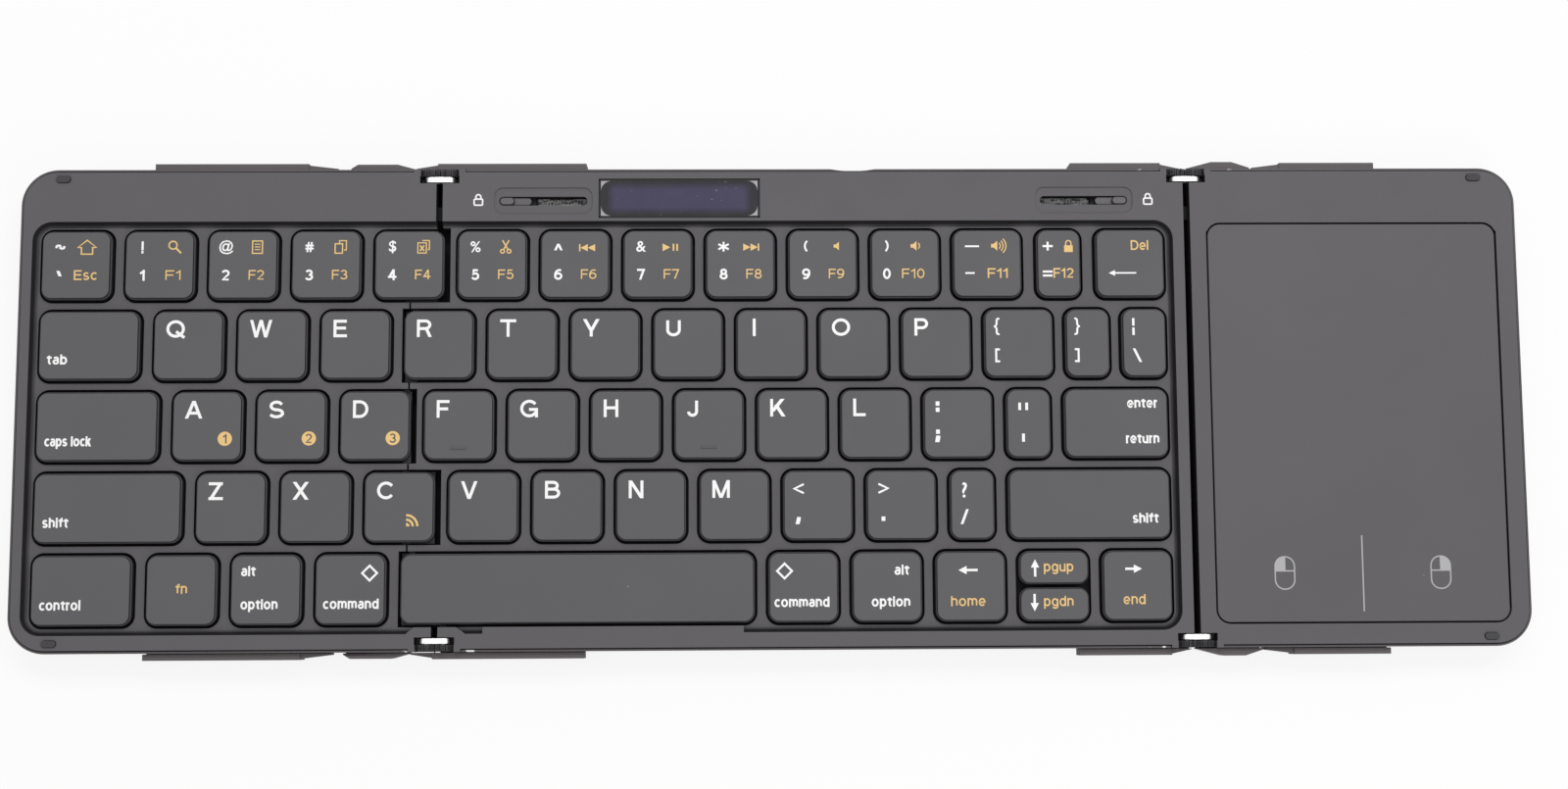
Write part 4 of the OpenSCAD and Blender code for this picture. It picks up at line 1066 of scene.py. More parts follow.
class Repeat:
    """A Geometry Nodes tree that makes copies of one part, realized and in one material."""

    def __init__(self, name: str, finish: Finish, inputs: dict[str, str]) -> None:
        """Starts the tree with its inputs and the part to repeat.

        Args:
            name: The tree's name.
            finish: The material of the copies.
            inputs: The kind of each input by its name, in order.
        """
        self.finish = finish
        self.tree = bpy.data.node_groups.new(name, "GeometryNodeTree")
        sockets = self.tree.interface
        self.inputs = {
            label: sockets.new_socket(name=label, in_out="INPUT", socket_type=f"NodeSocket{kind}").identifier
            for label, kind in inputs.items()
        }
        sockets.new_socket(name="Parts", in_out="OUTPUT", socket_type="NodeSocketGeometry")
        self.given = add_node(self.tree, "NodeGroupInput").outputs
        part = add_node(self.tree, "GeometryNodeObjectInfo", {"Object": self.given["Part"], "As Instance": True})
        self.part = part.outputs["Geometry"]

    def place(self, points: Socket, **more: Socket) -> None:
        """Ends the tree: the part on each point, realized and in its material.

        Args:
            points: Where the copies stand.
            more: Other inputs of the instances, by name.
        """
        sides = {"Points": points, "Instance": self.part, **more}
        placed = add_node(self.tree, "GeometryNodeInstanceOnPoints", sides).outputs["Instances"]
        real = add_node(self.tree, "GeometryNodeRealizeInstances", {"Geometry": placed}).outputs["Geometry"]
        sides = {"Geometry": real, "Material": self.finish.material()}
        painted = add_node(self.tree, "GeometryNodeSetMaterial", sides).outputs["Geometry"]
        add_node(self.tree, "NodeGroupOutput", {0: painted})

    def run(self, part: Shells, points: Sequence[Triple], values: dict[str, object]) -> bpy.types.Mesh:
        """Runs the tree.

        Args:
            part: The shape to repeat, round its own origin.
            points: The points of the object that carries the tree.
            values: The tree's inputs by name.

        Returns:
            All the copies as one plain mesh.
        """
        shape, dots = bpy.data.meshes.new("part"), bpy.data.meshes.new("dots")
        shape.from_pydata(in_metres(part.vertices), [], part.faces)
        dots.from_pydata(in_metres(points), [], [])
        pattern, holder = bpy.data.objects.new("part", shape), bpy.data.objects.new("holder", dots)
        show(pattern)
        show(holder)
        nodes = holder.modifiers.new("parts", "NODES")
        nodes.node_group = self.tree
        for label, value in {"Part": pattern, **values}.items():
            nodes[self.inputs[label]] = value
        result = evaluated_mesh(holder)
        bpy.data.objects.remove(holder)
        bpy.data.objects.remove(pattern)
        return result


class PartsOnPoints(Repeat):
    """Sets one part on every point, each turned by chance with a fixed seed."""

    def __init__(self, name: str, finish: Finish) -> None:
        """Builds the tree for one finish.

        Args:
            name: The tree's name.
            finish: The material of the copies.
        """
        super().__init__(name, finish, {"Points": "Geometry", "Part": "Object", "Largest turn": "Float", "Seed": "Int"})
        chance = {3: self.given["Largest turn"], "Seed": self.given["Seed"]}
        spin = add_node(self.tree, "FunctionNodeRandomValue", chance, data_type="FLOAT")
        turn = add_node(self.tree, "ShaderNodeCombineXYZ", {"Z": spin.outputs[1]})
        self.place(self.given["Points"], Rotation=turn.outputs["Vector"])

    def mesh(self, part: Shells, places: Sequence[Triple], turn: float, seed: int) -> bpy.types.Mesh:
        """Returns a copy of the part on each place as one mesh, each turned by less than so many degrees."""
        return self.run(part, places, {"Largest turn": math.radians(turn), "Seed": seed})


class PartsInRow(Repeat):
    """Repeats one part at an even pitch along a line."""

    def __init__(self, name: str, finish: Finish) -> None:
        """Builds the tree for one finish.

        Args:
            name: The tree's name.
            finish: The material of the copies.
        """
        super().__init__(name, finish, {"Part": "Object", "Count": "Int", "Start": "Vector", "Step": "Vector"})
        along = {"Count": self.given["Count"], "Start Location": self.given["Start"], "Offset": self.given["Step"]}
        self.place(add_node(self.tree, "GeometryNodeMeshLine", along, mode="OFFSET").outputs["Mesh"])

    def mesh(self, part: Shells, count: int, start: Triple, step: Triple) -> bpy.types.Mesh:
        """Returns so many copies of the part as one mesh, from its start and from one to the next in millimetres."""
        first, offset = in_metres([start, step])
        return self.run(part, [], {"Count": count, "Start": first, "Step": offset})


# ---------------- lettering


class Ink(Enum):
    """The inks of the lettering."""

    WHITE = INK_WHITE
    AMBER = INK_AMBER
    GREY = INK_GREY
    CAP = KEY_ABS


class Align(Enum):
    """What a word's x and y mean: the start of its baseline or the middle of its box."""

    START = "start"
    BOX = "box"


class Icon(Enum):
    """The small drawings beside the function legends."""

    HOUSE = "house"
    GLASS = "glass"
    PAGE = "page"
    COPY = "copy"
    PASTE = "paste"
    SCISSORS = "scissors"
    PREVIOUS = "previous"
    PLAY = "play"
    NEXT = "next"
    SPEAKER = "speaker"
    LOCK = "lock"
    WAVES = "waves"
    DIAMOND = "diamond"
    DISC = "disc"
    ARROW = "arrow"
    PADLOCK = "padlock"
    MOUSE = "mouse"


@dataclass(frozen=True)
class Word:
    """A word: x and y from the key's left back corner, its capitals' height, its ink's length and weight."""

    text: str
    x: float
    y: float
    height: float
    ink: Ink = Ink.WHITE
    align: Align = Align.START
    length: float = 0.0
    weight: float = 0.15


@dataclass(frozen=True)
class Sign:
    """A small drawing: the middle of its box from the key's left back corner, its size and a number for its kind."""

    icon: Icon
    x: float
    y: float
    size: float
    ink: Ink = Ink.AMBER
    number: float = 0


Mark = Word | Sign
Row = list[list[Mark]]
Item = tuple[float, ...]
Strokes = list[list[Item]]


def strokes(drawn: str) -> Strokes:
    """Reads the strokes of a letter from its row in the table below."""
    return [[tuple(float(v) for v in item.split()) for item in stroke.split(",")] for stroke in drawn.split(";")]


# A plain grotesque drawn with one even stroke. Strokes end at a semicolon, and their items at a comma. Two numbers are
# a point on the stroke's middle line, where y 0 is the baseline's and 1 the capital's. Six are an arc: its centre, its
# two radii, and its start and end in degrees.
LETTERS = {
    "A": "0 0, .4 1; .8 0, .4 1; .16 .27, .64 .27",
    "B": "0 0, 0 1; 0 1, .38 1, .38 .77 .23 .23 90 -90, 0 .54; 0 .54, .42 .54, .42 .27 .27 .27 90 -90, 0 0",
    "C": ".42 .5 .42 .5 38 322",
    "D": "0 0, 0 1; 0 1, .3 1, .3 .5 .4 .5 90 -90, 0 0",
    "E": "0 0, 0 1; 0 1, .58 1; 0 .53, .54 .53; 0 0, .6 0",
    "F": "0 0, 0 1; 0 1, .55 1; 0 .5, .48 .5",
    "G": ".43 .5 .43 .5 38 335; .84 0, .84 .44, .5 .44",
    "H": "0 0, 0 1; .66 0, .66 1; 0 .53, .66 .53",
    "I": "0 0, 0 1",
    "J": ".46 1, .46 .27, .23 .27 .23 .27 0 -175",
    "K": "0 0, 0 1; .04 .34, .62 1; .68 0, .25 .58",
    "L": "0 1, 0 0; 0 0, .54 0",
    "M": "0 0, 0 1; .82 0, .82 1; 0 1, .41 0; .82 1, .41 0",
    "N": "0 0, 0 1; .66 0, .66 1; 0 1, .66 0",
    "O": ".44 .5 .44 .5 0 360",
    "P": "0 0, 0 1; 0 1, .36 1, .36 .72 .26 .28 90 -90, 0 .44",
    "Q": ".44 .5 .44 .5 0 360; .54 .26, .88 -.04",
    "R": "0 0, 0 1; 0 1, .4 1, .4 .74 .25 .26 90 -90, 0 .48; .67 0, .42 .48",
    "S": ".34 .74 .31 .26 20 270, .34 .24 .35 .24 90 -160",
    "T": ".37 0, .37 1; 0 1, .74 1",
    "U": "0 1, 0 .33, .33 .33 .33 .33 180 360, .66 1",
    "V": "0 1, .37 0; .74 1, .37 0",
    "W": "0 1, .27 0; .54 1, .27 0; .54 1, .81 0; 1.08 1, .81 0",
    "X": "0 0, .7 1; 0 1, .7 0",
    "Y": "0 1, .37 .4; .74 1, .37 .4; .37 0, .37 .45",
    "Z": "0 1, .62 1; .62 1, 0 0; 0 0, .64 0",
    "0": ".26 .5 .26 .5 0 360",
    "1": ".26 0, .26 1; .02 .76, .26 .94",
    "2": ".27 .72 .27 .28 165 -38, .03 0, .56 0",
    "3": ".26 .76 .24 .24 160 -90; .26 .26 .28 .26 90 -160",
    "4": ".42 0, .42 1; .42 1, 0 .26; 0 .26, .58 .26",
    "5": ".5 1, .12 1, .05 .5, .26 .32 .28 .32 120 -158",
    "6": ".28 .31 .28 .31 0 360; .38 .4 .38 .6 65 180",
    "7": "0 1, .54 1; .54 1, .2 0",
    "8": ".27 .76 .22 .24 0 360; .27 .26 .27 .26 0 360",
    "9": ".28 .69 .28 .31 0 360; .18 .6 .38 .6 -115 0",
    "a": ".24 .54 .21 .22 155 0, .45 0; .45 .43, .2 .43, .2 .215 .2 .215 90 270, .34 .02, .45 .14",
    "b": "0 0, 0 1; .26 .38 .26 .38 0 360",
    "c": ".26 .38 .26 .38 45 315",
    "d": ".52 0, .52 1; .26 .38 .26 .38 0 360",
    "e": ".02 .36, .52 .36, .26 .38 .26 .38 0 318",
    "f": ".13 0, .13 .8, .31 .8 .18 .2 180 80; 0 .74, .3 .74",
    "g": ".26 .38 .26 .38 0 360; .52 .76, .52 -.06, .26 -.06 .26 .24 0 -150",
    "h": "0 0, 0 1; 0 .5, .24 .5 .24 .26 180 0, .48 0",
    "i": "0 0, 0 .72; 0 .98, 0 1",
    "k": "0 0, 0 1; .03 .26, .42 .76; .46 0, .18 .44",
    "l": "0 0, 0 1",
    "m": "0 0, 0 .76; 0 .52, .2 .54 .2 .22 180 0, .4 0; .4 .52, .6 .54 .2 .22 180 0, .8 0",
    "n": "0 0, 0 .76; 0 .5, .24 .5 .24 .26 180 0, .48 0",
    "o": ".28 .38 .28 .38 0 360",
    "p": "0 -.3, 0 .76; .26 .38 .26 .38 0 360",
    "r": "0 0, 0 .76; 0 .46, .26 .46 .26 .3 180 85",
    "s": ".21 .56 .19 .2 25 270, .21 .18 .22 .18 90 -158",
    "t": ".13 .98, .13 .18, .3 .18 .17 .18 180 275; 0 .74, .3 .74",
    "u": "0 .76, 0 .26, .24 .26 .24 .26 180 360; .48 0, .48 .76",
    "!": "0 .32, 0 1; 0 0, 0 .04",
    "^": "0 .55, .25 1; .5 .55, .25 1",
    "(": ".5 .4 .5 .72 125 235",
    ")": "-.28 .4 .5 .72 55 -55",
    "-": "0 .4, .5 .4",
    "_": "0 .4, 1 .4",
    "+": "0 .4, .62 .4; .31 .09, .31 .71",
    "=": "0 .22, .62 .22; 0 .6, .62 .6",
    "[": ".24 1.02, 0 1.02, 0 -.22, .24 -.22",
    "]": "0 1.02, .24 1.02, .24 -.22, 0 -.22",
    "|": "0 -.1, 0 .3; 0 .62, 0 1.02",
    "\\": "0 1, .5 -.05",
    "/": ".4 1, 0 -.05",
    ":": "0 0, 0 .05; 0 .6, 0 .65",
    ";": ".02 .6, .02 .65; .02 .06, .02 0; .04 0, -.04 -.2",
    '"': "0 .72, 0 1; .36 .72, .36 1",
    "'": "0 .7, 0 1",
    "<": ".58 .72, 0 .4, .58 .08",
    ">": "0 .72, .58 .4, 0 .08",
    ",": ".04 .06, .04 0; .06 0, -.04 -.24",
    ".": "0 0, 0 .05",
    "`": "0 1, .18 .72",
    "~": "0 .3, .16 .44 .16 .1 180 30, .44 .36 .16 .1 210 360, .6 .5",
    "*": ".22 .55, .22 1; 0 .9, .44 .65; 0 .65, .44 .9",
    "#": ".1 0, .24 1; .4 0, .54 1; 0 .68, .64 .68; 0 .32, .64 .32",
}
GROTESQUE: dict[str, Strokes] = {sign: strokes(drawn) for sign, drawn in LETTERS.items()}
# How much closer the next letter stands after these open ones.
KERNING = {"r": 0.08, "t": 0.03, "f": 0.06, "c": 0.02, "F": 0.04, "k": 0.02}


@dataclass(frozen=True)
class Alphabet:
    """Sets a word in the plain grotesque, as closed prisms of one even stroke."""

    weight: float = 0.15
    gap: float = 0.13
    blank: float = 0.28
    step: float = 15.0  # Degrees of arc between two points.
    bends: int = 4  # A stroke of more points is curved, and its ends are not made longer.
    steep: float = 0.9  # A slanted stroke steeper than this is cut level at its ends.

    def known(self, text: str) -> bool:
        """Whether every letter of the text is drawn here."""
        return all(c in GROTESQUE or c == " " for c in text)

    def width(self, letter: str) -> float:
        """The width of one letter's ink for a capital height of 1."""
        points = [q for stroke in GROTESQUE[letter] for q in self.points(stroke)]
        return max(x for x, _ in points) - min(x for x, _ in points) + self.weight

    def length(self, text: str) -> float:
        """The length of a word's ink for a capital height of 1."""
        parts = [self.blank if c == " " else self.width(c) for c in text]
        return sum(parts) + self.gap * (len(text) - 1) - sum(KERNING.get(c, 0.0) for c in text[:-1])

    def points(self, stroke: Sequence[Item]) -> Ring:
        """The points of a stroke's middle line, with its arcs cut into steps.

        Args:
            stroke: The stroke's points and arcs.

        Returns:
            Its points, none of them twice in a row.
        """
        found: Ring = []
        for item in stroke:
            if len(item) == 2:
                found.append((item[0], item[1]))
                continue
            cx, cy, rx, ry, start, end = item
            steps = max(2, round(abs(end - start) / self.step))
            angles = [math.radians(start + (end - start) * k / steps) for k in range(steps + 1)]
            found += [(cx + rx * math.cos(a), cy + ry * math.sin(a)) for a in angles]
        return [q for k, q in enumerate(found) if k == 0 or math.dist(q, found[k - 1]) > 1e-4]

    def set(self, pen: Pen, text: str, x: float, y: float, height: float, squeeze: float) -> None:
        """Draws a word with a pen.

        Args:
            pen: The pen, which knows the heights of the ink.
            text: The word.
            x: The left end of its ink.
            y: Its baseline.
            height: The height of its capitals.
            squeeze: Its width against its natural width.
        """
        for letter in text:
            if letter == " ":
                x += (self.blank + self.gap) * height * squeeze
                continue
            ink = [self.points(stroke) for stroke in GROTESQUE[letter]]
            wide, half = height * squeeze, self.weight / 2
            left = min(q[0] for line in ink for q in line) - half
            for line in ink:
                placed = [(x + (qx - left) * wide, y + (half + qy * (1 - 2 * half)) * height) for qx, qy in line]
                self.draw(pen, placed, self.weight * height)
            x += (self.width(letter) + self.gap - KERNING.get(letter, 0.0)) * height * squeeze

    def draw(self, pen: Pen, line: Ring, width: float) -> None:
        """Draws one stroke of a letter.

        Args:
            pen: The pen, which knows the heights of the ink.
            line: The stroke, in its place.
            width: Its width.
        """
        closed = len(line) > 8 and math.dist(line[0], line[-1]) < 1e-3
        pen.high += pen.hair
        if closed:
            pen.shells.stroke(line[:-1], width, pen.low, pen.high, True)
            return
        across, up = (abs(last - first) for first, last in zip(line[0], line[-1]))
        if len(line) == 2 and across > 1e-6 and up > self.steep * across:
            self.leg(pen, line, width)
            return
        if len(line) <= self.bends:
            line = self.longer(line, width / 2)
        pen.shells.stroke(line, width, pen.low, pen.high)

    def longer(self, line: Ring, by: float) -> Ring:
        """Makes both ends of a stroke longer.

        Args:
            line: The stroke.
            by: How much each end grows.

        Returns:
            The longer stroke.
        """
        (x0, y0), (x1, y1) = line[0], line[1]
        (xn, yn), (xm, ym) = line[-1], line[-2]
        first, last = math.dist(line[0], line[1]), math.dist(line[-1], line[-2])
        start = (x0 + (x0 - x1) * by / first, y0 + (y0 - y1) * by / first)
        end = (xn + (xn - xm) * by / last, yn + (yn - ym) * by / last)
        return [start, *line[1:-1], end]

    def leg(self, pen: Pen, line: Ring, width: float) -> None:
        """Draws a slanted stroke whose ends are cut level.

        Args:
            pen: The pen.
            line: The stroke's two ends.
            width: The stroke's width.
        """
        (x0, y0), (x1, y1) = line if line[0][1] < line[1][1] else line[::-1]
        across = width / 2 * math.hypot(1, (x1 - x0) / (y1 - y0))
        y0, y1 = y0 - width / 2, y1 + width / 2
        ring = [(x0 - across, y0), (x0 + across, y0), (x1 + across, y1), (x1 - across, y1)]
        pen.shells.prism(ring, pen.low, pen.high)


@dataclass
class Printer:
    """Prints words and signs as thin ink on a flat face."""

    film: float = 0.03
    sunk: float = 0.01
    over: float = 0.015  # How much higher a second ink lies on the first.
    weight: float = 0.012
    fine: int = 3
    glyphs: dict[str, Glyph] = field(default_factory=dict)
    capital: float = 0.0

    def glyph(self, text: str) -> Glyph:
        """The built-in font's shapes for a text at size 1, as a thin solid.

        Args:
            text: The text.

        Returns:
            Its vertices and faces.
        """
        if text not in self.glyphs:
            curve = bpy.data.curves.new("word", "FONT")
            curve.body = text
            curve.size = 1.0
            curve.offset = self.weight
            curve.extrude = 0.5
            curve.resolution_u = self.fine
            holder = bpy.data.objects.new("word", curve)
            show(holder)
            mesh = evaluated_mesh(holder)
            self.glyphs[text] = [v.co.copy() for v in mesh.vertices], [tuple(p.vertices) for p in mesh.polygons]
            bpy.data.objects.remove(holder)
            bpy.data.meshes.remove(mesh)
        return self.glyphs[text]

    def print(self, marks: Sequence[Mark], corner: Point, top: float, name: str, body: str) -> None:
        """Prints marks on a face, one piece for each ink.

        Args:
            marks: What to print.
            corner: The face's left back corner.
            top: Height of the face.
            name: Start of the pieces' names.
            body: The body that carries the face.
        """
        inks: dict[Ink, Shells] = {}
        for k, mark in enumerate(marks):
            shells = inks.setdefault(mark.ink, Shells())
            if isinstance(mark, Word):
                self.set_word(shells, mark, corner, top)
            else:
                Pen(shells, corner, top - self.sunk, top + self.film).draw(mark)
        for ink, shells in inks.items():
            shells.piece(f"{name}_{ink.name.lower()}_print", ink.value, body)

    def set_word(self, shells: Shells, word: Word, corner: Point, top: float) -> None:
        """Adds a word's ink to the shells.

        Args:
            shells: The ink so far.
            word: The word.
            corner: The face's left back corner.
            top: Height of the face.
        """
        x, y = corner[0] + word.x, corner[1] + word.y
        plain = Alphabet(word.weight)
        if not plain.known(word.text):
            self.set_font(shells, word, (x, y), top)
            return
        squeeze = word.length / (plain.length(word.text) * word.height) if word.length else 1.0
        long = plain.length(word.text) * word.height * squeeze
        if word.align is Align.BOX:
            ys = [q[1] for c in word.text for stroke in GROTESQUE[c] for q in plain.points(stroke)]
            half = word.weight / 2
            low, high = min(ys) * (1 - 2 * half), max(ys) * (1 - 2 * half) + 2 * half
            x, y = x - long / 2, y - (low + high) / 2 * word.height
        pen = Pen(shells, (x, y), top - self.sunk, top + self.film + (self.over if word.ink is Ink.CAP else 0.0))
        plain.set(pen, word.text, x, y, word.height, squeeze)

    def set_font(self, shells: Shells, word: Word, at: Point, top: float) -> None:
        """Adds a sign's ink from the built-in font, its box's middle at the place.

        Args:
            shells: The ink so far.
            word: The sign.
            at: The middle of its box.
            top: Height of the face.
        """
        if not self.capital:
            self.capital = max(v.y for v in self.glyph("H")[0])
        points, faces = self.glyph(word.text)
        scale = word.height / self.capital
        left, right = min(v.x for v in points) * scale, max(v.x for v in points) * scale
        low, high = min(v.y for v in points) * scale, max(v.y for v in points) * scale
        x, y = at[0] - (left + right) / 2, at[1] - (low + high) / 2
        start = len(shells.vertices)
        shells.vertices += [
            (x + v.x * scale, y + v.y * scale, top + (self.film if v.z > 0 else -self.sunk)) for v in points
        ]
        shells.faces += [tuple(start + i for i in face) for face in faces]


@dataclass
class Pen:
    """Draws signs into shells, each stroke a hair higher than the last so that none lies in another."""

    shells: Shells
    corner: Point
    low: float
    high: float
    hair: float = 0.002
    sign: Sign | None = None

    def draw(self, sign: Sign) -> None:
        """Draws one sign."""
        self.sign = sign
        getattr(self, sign.icon.value)()

    def at(self, points: Sequence[Point]) -> Ring:
        """Scales and places points of a drawing whose box is about 1 high."""
        x, y, size = self.corner[0] + self.sign.x, self.corner[1] + self.sign.y, self.sign.size
        return [(x + px * size, y + py * size) for px, py in points]

    def line(self, points: Sequence[Point], width: float, closed: bool = False) -> None:
        """Draws a line of a width given as a share of the sign's size."""
        self.high += self.hair
        self.shells.stroke(self.at(points), width * self.sign.size, self.low, self.high, closed)

    def fill(self, points: Sequence[Point]) -> None:
        """Fills an anticlockwise outline."""
        self.high += self.hair
        self.shells.prism(self.at(points), self.low, self.high)

    def house(self) -> None:
        """A house in outline."""
        walls = [(0.38, 0.0), (0.38, -0.46), (-0.38, -0.46), (-0.38, 0.0)]
        self.line([(-0.64, 0.0), (0, 0.5), (0.64, 0.0), *walls], 0.09, True)

    def glass(self) -> None:
        """A magnifying glass."""
        self.line(circle(-0.14, 0.16, 0.29), 0.1, True)
        self.line([(0.08, -0.06), (0.46, -0.44)], 0.13)

    def page(self) -> None:
        """A page with lines of text."""
        self.line([(-0.36, -0.46), (0.36, -0.46), (0.36, 0.46), (-0.36, 0.46)], 0.09, True)
        for y in (-0.18, 0.02, 0.22):
            self.line([(-0.2, y), (0.2, y)], 0.07)

    def copy(self) -> None:
        """Two pages, one before the other."""
        self.line([(-0.08, 0.3), (-0.08, 0.47), (0.42, 0.47), (0.42, -0.22), (0.24, -0.22)], 0.08)
        self.line([(-0.4, -0.46), (0.14, -0.46), (0.14, 0.24), (-0.4, 0.24)], 0.09, True)

    def paste(self) -> None:
        """A page with a sheet laid on it."""
        self.line([(-0.1, 0.47), (0.42, 0.47), (0.42, -0.2), (0.3, -0.2)], 0.08)
        self.line([(-0.42, -0.46), (0.2, -0.46), (0.2, 0.3), (-0.42, 0.3)], 0.08, True)
        self.line([(-0.26, -0.3), (0.04, 0.1)], 0.1)
        self.line([(0.04, -0.3), (-0.26, 0.1)], 0.1)

    def scissors(self) -> None:
        """Open scissors, points up."""
        for side in (-1, 1):
            self.line(circle(side * 0.24, -0.34, 0.14, 16), 0.09, True)
            self.line([(side * 0.15, -0.2), (-side * 0.24, 0.48)], 0.1)

    def triangle(self, x: float, side: int, size: float = 0.5) -> None:
        """A filled triangle that points along side."""
        points = [(x - side * size / 2, -size / 2), (x + side * size / 2, 0.0), (x - side * size / 2, size / 2)]
        self.fill(points if side > 0 else points[::-1])

    def bar(self, x: float, height: float = 0.5, width: float = 0.1) -> None:
        """A filled upright bar."""
        left, right, up = x - width / 2, x + width / 2, height / 2
        self.fill([(left, -up), (right, -up), (right, up), (left, up)])

    def previous(self) -> None:
        """A bar and two triangles that point left."""
        self.bar(-0.5)
        self.triangle(-0.2, -1)
        self.triangle(0.3, -1)

    def next(self) -> None:
        """Two triangles that point right and a bar."""
        self.triangle(-0.3, 1)
        self.triangle(0.2, 1)
        self.bar(0.5)

    def play(self) -> None:
        """A triangle and two bars."""
        self.triangle(-0.3, 1, 0.55)
        self.bar(0.2, 0.5, 0.12)
        self.bar(0.46, 0.5, 0.12)

    def speaker(self) -> None:
        """A loudspeaker with as many waves as its number."""
        self.fill([(-0.3, -0.13), (-0.12, -0.13), (0.14, -0.36), (0.14, 0.36), (-0.12, 0.13), (-0.3, 0.13)])
        for k in range(int(self.sign.number)):
            self.line(arc(0.08, 0, 0.28 + 0.2 * k, -48, 48), 0.08)

    def lock(self) -> None:
        """A filled padlock."""
        self.fill([(-0.36, -0.5), (0.36, -0.5), (0.36, 0.06), (-0.36, 0.06)])
        self.line([(-0.22, 0.04), *arc(0, 0.24, 0.22, 180, 0), (0.22, 0.04)], 0.1)

    def padlock(self) -> None:
        """A padlock in outline."""
        self.line(Plan(0, -0.2, 0.74, 0.54, 0.1, 3).ring(), 0.13, True)
        self.line([(-0.22, 0.08), *arc(0, 0.25, 0.22, 180, 0), (0.22, 0.08)], 0.13)

    def waves(self) -> None:
        """Radio waves from a corner."""
        corner = (-0.5, -0.5)
        self.fill([corner, *arc(*corner, 0.26, 0, 90, 8)])
        for r in (0.5, 0.84):
            self.line(arc(*corner, r, 0, 90), 0.17)

    def diamond(self) -> None:
        """A plain diamond in outline."""
        self.line([(0, -0.5), (0.5, 0), (0, 0.5), (-0.5, 0)], 0.14, True)

    def disc(self) -> None:
        """A filled disc."""
        self.fill(circle(0, 0, 0.5, 32))

    def arrow(self) -> None:
        """An arrow whose number is its direction in degrees. Its length is 1."""
        a = math.radians(self.sign.number)
        c, s = math.cos(a), math.sin(a)

        def turned(points: Sequence[Point]) -> Ring:
            """Turns points to the arrow's direction."""
            return [(px * c - py * s, px * s + py * c) for px, py in points]

        size = self.sign.size
        sizes = (1.65, 0.85, 0.24) if size < 5 else (1.3, 0.6, 0.16)
        head, wide, line = (v / size for v in sizes)
        outline = [
            (0.5, 0.0), (0.5 - head, wide), (0.5 - head, line), (-0.5, line),
            (-0.5, -line), (0.5 - head, -line), (0.5 - head, -wide),
        ]
        self.fill(turned(outline))

    def mouse(self) -> None:
        """A mouse seen from above, with the button on its number's side filled."""
        self.line(Plan(0, 0, 0.62, 1.0, 0.3).ring(0.02), 0.04, True)
        self.line([(-0.29, 0.06), (0.29, 0.06)], 0.04)
        self.line([(0, 0.06), (0, 0.48)], 0.04)
        side = self.sign.number
        bend = [(0.29 * side * q, 0.2 + 0.29 * t) for q, t in arc(0, 0, 1.0, 0, 90, 8)]
        quarter = [(0.0, 0.06), (0.29 * side, 0.06), *bend]
        self.fill(quarter if side > 0 else quarter[::-1])


# ---------------- keys


def letter(text: str) -> list[Mark]:
    """A letter key's marks."""
    return [Word(text, x=3.15 if text == "I" else 2.4, y=-5.3, height=3.6, weight=0.165)]


def numbered(text: str) -> list[Mark]:
    """An amber disc with a number in it."""
    at = {"x": 10.55, "y": -9.45}
    return [Sign(Icon.DISC, size=2.9, **at), Word(text, height=1.9, ink=Ink.CAP, align=Align.BOX, **at)]


def number_key(upper: Word, lower: str, sign: Sign, function: str) -> list[Mark]:
    """A number key's marks: two white signs on the left, an amber drawing and an amber function on the right."""
    number = Word(lower, x=3.45, y=-9.0, height=2.25, align=Align.BOX, weight=0.19)
    return [upper, number, sign, Word(function, 8.1, -9.95, 2.0, Ink.AMBER, length=3.2, weight=0.13)]


def above(text: str, height: float = 2.4, y: float = -3.2, x: float = 3.45, weight: float = 0.17) -> Word:
    """The white sign at the top left of a number key."""
    return Word(text, x, y, height, align=Align.BOX, weight=weight)


